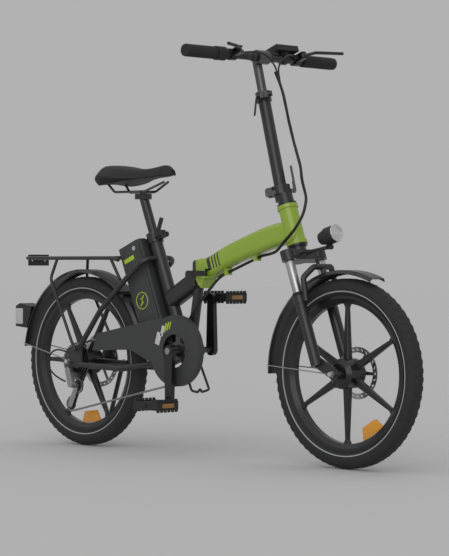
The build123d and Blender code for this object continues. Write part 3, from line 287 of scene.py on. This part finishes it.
def settle(name, body, material, smooth=35):
    """Names and finishes the active piece, and lets it ride on a body unless body is None."""
    piece = bpy.context.active_object
    piece.name = name
    piece.data.name = name
    bpy.ops.object.transform_apply(location=True, rotation=True, scale=True)
    bpy.ops.object.shade_smooth_by_angle(angle=math.radians(smooth))
    piece.data.materials.clear()
    piece.data.materials.append(material)
    if body:
        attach(piece, body)
    return piece


def soften(width, segments=2):
    """Rounds every edge of the active piece."""
    piece = bpy.context.active_object
    bpy.ops.object.transform_apply(location=True, rotation=True, scale=True)
    bevel = piece.modifiers.new("edges", "BEVEL")
    bevel.width = width
    bevel.segments = segments
    bpy.ops.object.modifier_apply(modifier=bevel.name)


def slab(centre, size, turn=(0, 0, 0), edge=0.0008):
    """A small rounded block, its size along its own axes before it is turned."""
    start()
    bpy.ops.mesh.primitive_cube_add(size=1, location=centre, rotation=turn)
    bpy.context.active_object.scale = size
    soften(edge)


def drum(centre, along, radius, length, edge=0.0008, sides=40):
    """A round boss with rounded rims about a line."""
    start()
    turn = Vector(along).to_track_quat("Z", "Y").to_euler()
    bpy.ops.mesh.primitive_cylinder_add(
        vertices=sides, radius=radius, depth=length, location=centre, rotation=turn
    )
    soften(edge)


def hoop(centre, along, radius, thickness, sides=96):
    """A thin round ring about a line."""
    start()
    turn = Vector(along).to_track_quat("Z", "Y").to_euler()
    bpy.ops.mesh.primitive_torus_add(
        major_radius=radius, minor_radius=thickness, major_segments=sides, minor_segments=10,
        location=centre, rotation=turn,
    )


def spread_round(centre, count, axis=(0, 1, 0)):
    """Copies the active piece in equal steps round an axle."""
    bpy.ops.object.transform_apply(location=True, rotation=True, scale=True)
    bpy.ops.object.mode_set(mode="EDIT")
    bpy.ops.mesh.select_all(action="SELECT")
    bpy.ops.mesh.spin(
        steps=count - 1, dupli=True, angle=2 * math.pi * (count - 1) / count, center=centre, axis=axis
    )
    bpy.ops.object.mode_set(mode="OBJECT")


def tube(name, points, radius, body, material, smooth_line=True):
    """A round wire or hose along points."""
    start()
    curve = bpy.data.curves.new(name, "CURVE")
    curve.dimensions = "3D"
    curve.bevel_depth = radius
    curve.bevel_resolution = 3
    curve.resolution_u = 8
    line = curve.splines.new("NURBS" if smooth_line else "POLY")
    line.points.add(len(points) - 1)
    for knot, point in zip(line.points, points):
        knot.co = (*point, 1)
    line.use_endpoint_u = smooth_line
    if smooth_line:
        line.order_u = 3
    curve.use_fill_caps = True
    piece = bpy.data.objects.new(name, curve)
    bpy.context.collection.objects.link(piece)
    bpy.context.view_layer.objects.active = piece
    piece.select_set(True)
    bpy.ops.object.convert(target="MESH")
    return settle(name, body, material, 50)


def joined(pieces):
    """Joins pieces that are one thing, and leaves the result active."""
    start()
    for piece in pieces:
        piece.select_set(True)
    bpy.context.view_layer.objects.active = pieces[0]
    bpy.ops.object.join()


# %% [markdown]
# ## The saddle
# A city saddle is wide and round at the back, narrows over its middle third, and ends in a rounded nose. Its
# skirt leans inwards below the widest line. The form starts as a finely cut cube whose points are then moved
# to that outline, which keeps one closed skin without poles.

# %% Saddle cover
saddle_low, saddle_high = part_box("saddle")
saddle_length = saddle_high[0] - saddle_low[0]


def saddle_half_width(share):
    """Half the saddle's width at a share of the way from its tail to its nose."""
    tail = math.sqrt(max(0.0, 1 - max(0.0, (0.26 - share) / 0.26) ** 2.4))
    taper = 1 / (1 + math.exp((share - 0.46) * 11))
    nose = math.sqrt(max(0.0, 1 - max(0.0, (share - 0.86) / 0.14) ** 2))
    return (0.028 + 0.066 * taper) * (0.3 + 0.7 * tail) * (0.42 + 0.58 * nose)


start()
bpy.ops.mesh.primitive_cube_add(size=2)
bpy.ops.object.mode_set(mode="EDIT")
bpy.ops.mesh.select_all(action="SELECT")
bpy.ops.mesh.subdivide(number_cuts=15)
bpy.ops.object.mode_set(mode="OBJECT")
saddle_piece = bpy.context.active_object
for point in saddle_piece.data.vertices:
    share = (point.co.x + 1) / 2
    side, level = point.co.y, point.co.z
    corner = max(0.0, abs(side) - 0.5) / 0.5
    edge = min(share, 1 - share)
    roll = max(0.0, 1 - edge / 0.09) ** 2
    crown = 0.009 * (1 - side * side) + 0.007 * math.cos((share - 0.12) * 6.4)
    top = saddle_low[2] + 0.041 + crown - 0.017 * corner ** 2 - 0.014 * roll
    skirt = 0.013 * (0.6 + 0.4 * side * side) * max(0.0, 1 - share * 1.5)
    bottom = saddle_low[2] + 0.005 + 0.016 * share - skirt + 0.010 * roll
    width = saddle_half_width(share) * (0.82 + 0.18 * math.sin((level + 1) / 2 * math.pi * 0.8))
    end = 1 - 0.03 * (level * level)
    point.co.x = saddle_low[0] - 0.012 + (saddle_length + 0.014) * (0.5 + (share - 0.5) * end)
    point.co.y = side * width
    point.co.z = bottom + (top - bottom) * (level + 1) / 2
saddle_round = saddle_piece.modifiers.new("round", "SUBSURF")
saddle_round.levels = 2
saddle_round.render_levels = 2
bpy.ops.object.modifier_apply(modifier=saddle_round.name)
saddle_skin = finish(
    "saddle_skin", (0.010, 0.010, 0.0105), roughness=0.62, grain=0.7, grain_scale=420, drift=0.2
)
saddle_cover = settle("saddle_cover", "seat", saddle_skin, 80)
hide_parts("saddle")

# %% [markdown]
# ## The chain
# A chain has a link every half inch. Each link here is a pair of plates and a roller, set a pitch apart along
# the line round the chain ring, the gear and the two jockey wheels.

# %% The chain's line
chain_side = -0.051
circles = [
    (crank_axle, 0.0898), (rear_axle, 0.0478), (pivot("guide_pulley_spin"), -0.0208),
    (pivot("tension_pulley_spin"), 0.0208),
]


def chain_stations(pitch):
    """Points and headings along the closed line round the circles, a pitch apart."""
    headings = []
    for index, (here, radius) in enumerate(circles):
        there, next_radius = circles[(index + 1) % len(circles)]
        run = there - here
        length = math.hypot(run.x, run.z)
        headings.append(math.atan2(run.z, run.x) - math.asin((next_radius - radius) / length))
    line = []
    for index, (centre, radius) in enumerate(circles):
        arriving = headings[index - 1]
        turn = (headings[index] - arriving) % (2 * math.pi)
        if radius < 0:
            turn -= 2 * math.pi
        steps = max(2, int(abs(turn * radius) / 0.002))
        for step in range(steps + 1):
            heading = arriving + turn * step / steps
            line.append(Vector((
                centre.x + math.sin(heading) * radius, chain_side, centre.z - math.cos(heading) * radius,
            )))
    line.append(line[0])
    lengths = [(b - a).length for a, b in zip(line, line[1:])]
    count = round(sum(lengths) / pitch)
    spacing = sum(lengths) / count
    stations, walked, wanted = [], 0.0, 0.0
    for a, b, length in zip(line, line[1:], lengths):
        while length and wanted <= walked + length and len(stations) < count:
            stations.append(a.lerp(b, (wanted - walked) / length))
            wanted += spacing
        walked += length
    return stations


chain_pitch = 0.0127
stations = chain_stations(chain_pitch)
print("chain links", len(stations))

# %% Chain links
link_parts = []
for index, here in enumerate(stations):
    there = stations[(index + 1) % len(stations)]
    middle = (here + there) / 2
    run = there - here
    tilt = -math.atan2(run.z, run.x)
    spread = 0.0021 if index % 2 else 0.0014
    for side in (-spread, spread):
        bpy.ops.object.select_all(action="DESELECT")
        bpy.ops.mesh.primitive_cylinder_add(
            vertices=8, radius=0.0038, depth=0.0008, location=middle + across * side,
            rotation=(math.pi / 2, 0, 0),
        )
        plate = bpy.context.active_object
        plate.scale = (2.1, 0.8, 1)
        bpy.ops.object.transform_apply(location=False, rotation=True, scale=True)
        plate.rotation_euler = (0, tilt, 0)
        link_parts.append(plate)
    bpy.ops.object.select_all(action="DESELECT")
    bpy.ops.mesh.primitive_cylinder_add(
        vertices=8, radius=0.0026, depth=0.0052, location=here, rotation=(math.pi / 2, 0, 0)
    )
    link_parts.append(bpy.context.active_object)
joined(link_parts)
chain_steel = finish("chain_steel", (0.3, 0.3, 0.31), metallic=1.0, roughness=0.36, grain=0.2)
chain_links = settle("chain_links", "rear_frame", chain_steel)
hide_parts("chain")

# %% [markdown]
# ## Tyres
# Each tyre carries a thin reflective line on both sidewalls, and a tread of small blocks. One block of each
# row is modelled and spun round the axle.

# %% Reflective lines and treads
# Each row of blocks: its place across the tyre in metres, its slant, and its start round it in degrees.
tread_rows = ((-0.0075, 0.5, 0), (0.0075, -0.5, 2.5), (-0.0155, 0.3, 1.2), (0.0155, -0.3, 3.6))
tread_blocks = 66
for tyre, axle, body in (("rear", rear_axle, "rear_wheel"), ("front", front_axle, "front_wheel")):
    sides = []
    for side in (-0.0212, 0.0212):
        hoop(axle + across * side, across, 0.2185, 0.0019, 160)
        sides.append(bpy.context.active_object)
    joined(sides)
    settle(f"{tyre}_tyre_lines", body, reflective)
    rows = []
    for side, tilt, shift in tread_rows:
        inner = abs(side) < 0.01
        lean = 0 if inner else math.copysign(0.62, side)
        reach = 0.2509 if inner else 0.2478
        slab(
            round_place(axle, reach, shift, side), (0.0022, 0.0062, 0.0115),
            (tilt, 0, lean), 0.0005,
        )
        spread_round(axle, tread_blocks)
        rows.append(bpy.context.active_object)
    joined(rows)
    settle(f"{tyre}_tread", body, tyre_rubber)
print("tread blocks on each tyre", tread_blocks * len(tread_rows))

# %% [markdown]
# ## Reflectors
# An amber reflector sits between two spokes of each wheel, and one on each end of both pedals.

# %% Wheel reflectors
for name, axle, body, angle in (
    ("rear", rear_axle, "rear_wheel", -84), ("front", front_axle, "front_wheel", -59),
):
    centre = round_place(axle, 0.167, angle)
    turn = (0, math.radians(-angle - 90), 0)
    start()
    bpy.ops.mesh.primitive_cube_add(size=1, location=(0, 0, 0))
    reflector = bpy.context.active_object
    reflector.scale = (0.082, 0.012, 0.035)
    bpy.ops.object.transform_apply(scale=True)
    for point in reflector.data.vertices:
        if point.co.z > 0:
            point.co.x *= 0.62
    reflector.location = centre
    reflector.rotation_euler = turn
    soften(0.003, 3)
    settle(f"{name}_reflector", body, amber)
    slab(
        round_place(axle, 0.1835, angle), (0.088, 0.010, 0.006), (0, math.radians(90 - angle), 0), 0.001
    )
    settle(f"{name}_reflector_foot", body, white_mark)

# %% Pedal reflectors and teeth
for name in ("pedal_right", "pedal_left"):
    centre = pivot(f"{name}_spin")
    centre.y = 0
    side = -0.136 if name == "pedal_right" else 0.136
    strips = []
    for ahead in (-0.0505, 0.0505):
        slab(centre + Vector((ahead, side, 0)), (0.003, 0.044, 0.012), (0, 0, 0), 0.001)
        strips.append(bpy.context.active_object)
    joined(strips)
    settle(f"{name}_reflectors", name, pedal_amber)
    teeth = []
    for ahead in (-0.046, 0.046):
        for level in (-0.0125, 0.0125):
            for index in range(6):
                slab(
                    centre + Vector((ahead, side - 0.0345 + index * 0.0138, level)), (0.008, 0.0068, 0.012),
                    (0, 0, 0), 0.0015,
                )
                teeth.append(bpy.context.active_object)
    joined(teeth)
    settle(f"{name}_teeth", name, black_plastic)

# %% [markdown]
# ## Marks on the chain guard and the battery
# The guard has five slanted strokes above the crank, white ones first and lime ones after. The battery has a
# small lime plate near its top and a ring lower down. They are thin raised pieces, like printed film.

# %% Strokes on the chain guard
guard_face = crank_axle + across * -0.0662
stroke_reach = 0.074
for index, (angle, width, length, material, slot) in enumerate((
    (153, 0.019, 0.036, white_mark, "lamp_plastic"),
    (131, 0.011, 0.031, white_mark, "lamp_plastic"),
    (119, 0.006, 0.027, lime_mark, "lime_paint"),
    (110.5, 0.005, 0.025, lime_mark, "lime_paint"),
    (103, 0.004, 0.023, lime_mark, "lime_paint"),
)):
    middle = round_place(guard_face, stroke_reach, angle)
    slab(middle, (width, 0.0006, length), (0, 0.32, 0), 0.0002)
    settle(f"guard_stroke_{index}", "rear_frame", material)

# %% Battery plate, ring, panels and lock
lean = math.atan2(-seat_up.x, seat_up.z)
battery_side = -0.0438
slab(seat_place(0.082, 0.312, battery_side), (0.044, 0.0008, 0.013), (0, -lean, 0), 0.0003)
settle("battery_plate", "battery", lime_mark)
hoop(seat_place(0.074, 0.181, battery_side), across, 0.024, 0.0013, 64)
settle("battery_ring", "battery", lime_mark)
strokes = []
for across_shift, up_shift, tilt in ((-0.004, 0.007, 0.5), (0.004, -0.007, 0.5), (0.0, 0.0, -0.75)):
    slab(
        seat_place(0.074 + across_shift, 0.181 + up_shift, battery_side), (0.0035, 0.0008, 0.018),
        (0, tilt, 0), 0.0002,
    )
    strokes.append(bpy.context.active_object)
joined(strokes)
settle("battery_bolt", "battery", lime_mark)
panels = []
for side in (-1, 1):
    slab(seat_place(0.076, 0.185, side * 0.0428), (0.066, 0.0016, 0.31), (0, -lean, 0), 0.0006)
    panels.append(bpy.context.active_object)
    slab(seat_place(0.030, 0.185, side * 0.0405), (0.004, 0.006, 0.33), (0, -lean, 0), 0.0008)
    panels.append(bpy.context.active_object)
for index in range(5):
    slab(seat_place(0.1232, 0.09 + index * 0.05, 0), (0.0016, 0.06, 0.004), (0, -lean, 0), 0.0005)
    panels.append(bpy.context.active_object)
joined(panels)
settle("battery_panels", "battery", grey_plastic)
drum(seat_place(0.05, 0.335, battery_side), across, 0.007, 0.004)
settle("battery_lock", "battery", chrome)

# %% [markdown]
# ## Lamps
# The headlight has a bright rim and a clear face with fine rings. The lamp on the rear mudguard has a pale
# lens over its black base.

# %% Headlight
lamp_low, lamp_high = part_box("headlight")
print("headlight height", round(lamp_high[2] - lamp_low[2], 3))
lamp_aim = Vector((0.964, 0, 0.268)).normalized()
lamp_face = pivot("headlight_tilt") + Vector((0.025, 0, 0.037))
hoop(lamp_face, lamp_aim, 0.0222, 0.0022, 64)
settle("headlight_rim", "headlight", chrome)
lens_glass = finish("lens_glass", (0.62, 0.63, 0.65), roughness=0.1, drift=0.05, coat=1.0)
drum(lamp_face - lamp_aim * 0.0012, lamp_aim, 0.0205, 0.002, 0.0006, 64)
settle("headlight_lens", "headlight", lens_glass)
rings = []
for radius in (0.006, 0.011, 0.016):
    hoop(lamp_face - lamp_aim * 0.0001, lamp_aim, radius, 0.0006, 48)
    rings.append(bpy.context.active_object)
joined(rings)
settle("headlight_rings", "headlight", silver)

# %% Tail lamp lens
tail_low, tail_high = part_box("tail_light")
tail_middle = (Vector(tail_low) + Vector(tail_high)) / 2
pale_lens = finish("pale_lens", (0.5, 0.5, 0.5), roughness=0.18, drift=0.1, coat=0.8)
slab((tail_low[0] + 0.0175, 0, tail_middle.z - 0.002), (0.038, 0.0556, 0.052), (0, 0, 0), 0.004)
settle("tail_lens", "rear_frame", pale_lens)

# %% [markdown]
# ## Fork, stays and small hardware
# The fork's inner tubes are polished, and their seals are rubber. Thin wires hold the mudguards to the axles.

# %% Fork tubes and seals
sleeves, seals = [], []
for side in (-0.06, 0.06):
    low, high = fork_place(0.0116, -0.150, side), fork_place(0.0116, -0.048, side)
    drum((low + high) / 2, steer_up, 0.0128, (high - low).length, 0.0002, 48)
    sleeves.append(bpy.context.active_object)
    drum(fork_place(0.0116, -0.146, side), steer_up, 0.0158, 0.012, 0.002, 48)
    seals.append(bpy.context.active_object)
joined(sleeves)
settle("fork_tubes", "fork", silver)
joined(seals)
settle("fork_seals", "fork_lower", rubber)

# %% Mudguard stays
stay_reach = 0.270
stay_radius = 0.0016
for side in (-1, 1):
    name = "right" if side < 0 else "left"
    tube(
        f"rear_stay_{name}",
        [
            round_place(rear_axle, stay_reach, 170, side * 0.0305),
            rear_axle + Vector((-0.01, side * 0.0715, 0.004)),
        ],
        stay_radius, "rear_frame", steel, False,
    )
    tube(
        f"front_stay_{name}",
        [
            round_place(front_axle, stay_reach, 177, side * 0.0305),
            front_axle + Vector((-0.016, side * 0.0575, 0)),
        ],
        stay_radius, "fork_lower", steel, False,
    )

# %% [markdown]
# A bolt closes each crank, and a rounded cap covers each end of both axles.

# %% Bolts of cranks and axles
for name, centre, side, body in (
    ("crank_bolt_right", crank_axle, -0.0915, "cranks"), ("crank_bolt_left", crank_axle, 0.0915, "cranks"),
):
    drum(centre + across * side, across, 0.0095, 0.004, 0.001)
    settle(name, body, steel)
for name, centre, side, body in (
    ("rear_cap_right", rear_axle, -0.083, "rear_frame"),
    ("rear_cap_left", rear_axle, 0.083, "rear_frame"),
    ("front_cap_right", front_axle, -0.069, "fork_lower"),
    ("front_cap_left", front_axle, 0.069, "fork_lower"),
):
    drum(centre + across * side, across, 0.0068, 0.010, 0.003)
    settle(name, body, chrome)

# %% [markdown]
# ## Cables
# Several thin cables run side by side in each bundle. Their middle line follows the same route as the packed
# solid: straight runs with rounded corners. Three strands are laid round that line. A bundle that crosses a
# joint rides on no body; its points are baked into its mesh where they lie.

# %% Routes of the bundles
def rounded(points, step=0.007):
    """Points along straight runs whose corners are rounded."""
    line = [points[0]]
    for before, here, after in zip(points, points[1:], points[2:]):
        reach = 0.45 * min((here - before).length, (after - here).length)
        enter = here + (before - here).normalized() * reach
        leave = here + (after - here).normalized() * reach
        for index in range(7):
            share = index / 6
            line.append(
                enter * (1 - share) ** 2 + here * (2 * share * (1 - share)) + leave * share ** 2
            )
    line.append(points[-1])
    dense = [line[0]]
    for a, b in zip(line, line[1:]):
        count = max(1, round((b - a).length / step))
        dense += [a.lerp(b, index / count) for index in range(1, count + 1)]
    return dense


def bundle(name, points, body, strands=3):
    """Strands laid round a route. Their turn depends on the height alone, so two bundles meet end to end."""
    line = rounded(points)
    pieces = []
    for strand in range(strands):
        places = []
        for index, point in enumerate(line):
            ahead = line[min(index + 1, len(line) - 1)] - line[max(index - 1, 0)]
            outward = ahead.cross(across).normalized()
            beside = outward.cross(ahead).normalized()
            turn = 2 * math.pi * strand / strands + point.z * 14
            places.append(point + (outward * math.cos(turn) + beside * math.sin(turn)) * 0.0023)
        pieces.append(tube(f"{name}_{strand}", places, 0.0021, body, cable_skin, False))
    joined(pieces)
    return bpy.context.active_object


cable_skin = finish("cable_skin", (0.012, 0.012, 0.0125), roughness=0.42, grain=0.2, grain_scale=800)
post_foot = fork_place(-0.007, 0.162)
hinge_point = Vector((hinge.x, 0, hinge.z))
head_middle = fork_place(0, 0.050)


def post_place(ahead, up, side=0.0):
    """A point ahead of and along the handlepost, from its foot."""
    return post_foot + post_ahead * ahead + post_up * up + across * side


def under_tube(share):
    """A point under the main tube, at a share of the way from the hinge to the head."""
    return hinge_point + (head_middle - hinge_point) * share - Vector((0, 0, 0.035))


bundle_low = post_place(0.080, 0.210, -0.006)
bundle_front = fork_place(0.084, 0.132, -0.010)
fold_start = hinge_point + Vector((0.050, -0.020, -0.048))
fold_run = (fold_start - under_tube(0.2)).normalized()
cable_clip = crank_axle + Vector((0.011, -0.024, 0.060))

# %% Bundles on the bar and in front of the post
top_piece = bundle(
    "bar_bundle", [post_place(0.066, 0.318, -0.006), post_place(0.080, 0.262, -0.006), bundle_low], "bar"
)
branches = [top_piece]
display_lean = math.radians(20)
screen_ahead = Vector((math.cos(display_lean), 0, math.sin(display_lean)))
rise = Vector((-screen_ahead.z, 0, screen_ahead.x))
for side, along, route in (
    (-1, (90, 68, 36), ((17, 0), (30, -1), (50, -14))), (1, (110, 86, 44), ((22, 0), (36, -4), (56, -14))),
):
    points = [
        bar_centre + across * side * reach / 1000 + screen_ahead * ahead / 1000 + rise * up / 1000
        for reach, (ahead, up) in zip(along, route)
    ]
    points += [post_place(0.073, 0.334, -0.009 if side < 0 else 0), post_place(0.076, 0.280, -0.006)]
    branches.append(
        tube(f"branch_{side}", rounded(points), 0.0024, "bar", cable_skin, False)
    )
joined(branches)
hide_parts("bar_cables")

post_bundle = bundle("post_bundle", [
    bundle_low, post_place(0.080, 0.180, -0.006), post_place(0.088, 0.100, -0.008),
    post_place(0.094, 0.040, -0.009), fork_place(0.084, 0.160, -0.010), bundle_front,
], None)
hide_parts("post_cables")
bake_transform(post_bundle)

# %% Bundles round the head tube, under the main tube and across the frame's hinge
head_bundle = bundle("head_bundle", [
    bundle_front, fork_place(0.084, 0.104, -0.010), fork_place(0.072, 0.062, -0.026),
    fork_place(0.038, 0.028, -0.042), fork_place(-0.004, 0.010, -0.046), fork_place(-0.044, -0.002, -0.038),
    under_tube(0.80) + Vector((0, -0.016, -0.011)), under_tube(0.68), under_tube(0.62),
], None)
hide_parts("head_cables")
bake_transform(head_bundle)
frame_bundle = bundle("frame_bundle", [under_tube(0.62), under_tube(0.2), fold_start], "front_frame")
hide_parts("frame_cables")
fold_bundle = bundle("fold_bundle", [
    fold_start, fold_start + fold_run * 0.026, hinge_point + Vector((0.004, -0.027, -0.104)),
    cable_clip + Vector((0, 0, 0.022)), cable_clip,
], None)
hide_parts("fold_cables")
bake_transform(fold_bundle)

# %% [markdown]
# The last stretch of gear cable makes a loop behind the rear axle and comes forward again below it.

# %% Gear cable loop behind the derailleur
tube(
    "gear_cable_loop",
    [
        rear_axle + Vector((0.040, -0.062, 0.004)), rear_axle + Vector((-0.010, -0.071, 0.030)),
        rear_axle + Vector((-0.072, -0.074, 0.036)), rear_axle + Vector((-0.100, -0.076, 0.000)),
        rear_axle + Vector((-0.076, -0.076, -0.044)), rear_axle + Vector((-0.018, -0.074, -0.060)),
    ],
    0.0026, "rear_frame", cable_skin,
)

# %% [markdown]
# ## Bar
# Both grips have fine ribs. The right one is shorter, because the twist shifter takes its inner end.

# %% Grip ribs
rib_step = 0.0045
ribs = []
for low, high in ((-0.287, -0.182), (0.162, 0.287)):
    count = int((high - low) / rib_step)
    for index in range(count):
        hoop(bar_centre + across * (low + index * rib_step), across, 0.0164, 0.0008, 36)
        ribs.append(bpy.context.active_object)
joined(ribs)
settle("grip_ribs", "bar", grip_rubber)
print("grip ribs", len(ribs))

# %% [markdown]
# The display has a dark glossy screen, square to the line that the brake levers turn about.

# %% Display screen
screen_glass = finish("screen_glass", (0.02, 0.025, 0.028), roughness=0.08, drift=0.05, coat=1.0)
screen_up = direction("brake_left_squeeze")
tilt = math.atan2(screen_up.x, screen_up.z)
slab(
    bar_centre + Vector((-0.010, 0.090, 0.023)) + screen_up * 0.0083, (0.038, 0.066, 0.0014),
    (0, tilt, 0), 0.0004,
)
settle("display_screen", "bar", screen_glass)

# %% [markdown]
# ## Studio
# A flat pale floor reaches to the horizon under an even grey sky. It lies a little below the tyres, so the
# two never share a plane.

# %% Floor
start()
floor_size = 60
floor_drop = 0.0016
bpy.ops.mesh.primitive_plane_add(size=floor_size, location=(0, 0, -floor_drop))
floor = bpy.context.active_object
floor.name = "studio_floor"
floor_paint = finish("floor_paint", (0.62, 0.62, 0.62), roughness=0.9, drift=0.0)
floor.data.materials.append(floor_paint)

# %% [markdown]
# Two broad suns light it, one nearly overhead and a stronger one from the camera's side. Neither weakens with
# distance.

# %% Light
world = bpy.data.worlds.new("studio")
bpy.context.scene.world = world
world.use_nodes = True
sky_grey = 0.445
background = world.node_tree.nodes["Background"]
background.inputs["Color"].default_value = (sky_grey, sky_grey, sky_grey, 1)
background.inputs["Strength"].default_value = 1.0


def broad_light(name, toward, spread, strength):
    """A light without falloff, so the floor stays even from the wheels to the horizon."""
    start()
    bpy.ops.object.light_add(type="SUN", location=(0, 0, 3))
    light = bpy.context.active_object
    light.name = name
    light.data.angle = math.radians(spread)
    light.data.energy = strength
    light.rotation_euler = Vector(toward).to_track_quat("-Z", "Y").to_euler()


broad_light("overhead", (0.1, 0.25, -1), 100, 0.55)
broad_light("camera_side", (-0.75, 1.0, -0.42), 50, 0.75)

# %% [markdown]
# The camera stands low and far away with a long lens, so the wheels stay almost round.

# %% Camera
camera_data = bpy.data.cameras.new("camera")
camera_data.sensor_width = 36
camera_data.lens = 137.9
camera = bpy.data.objects.new("camera", camera_data)
bpy.context.collection.objects.link(camera)
camera.location = (4.35452, -4.18631, 0.54474)
camera.rotation_euler = (math.radians(89.6), 0, math.radians(45.54))
bpy.context.scene.camera = camera
bpy.context.scene.view_settings.view_transform = "Standard"
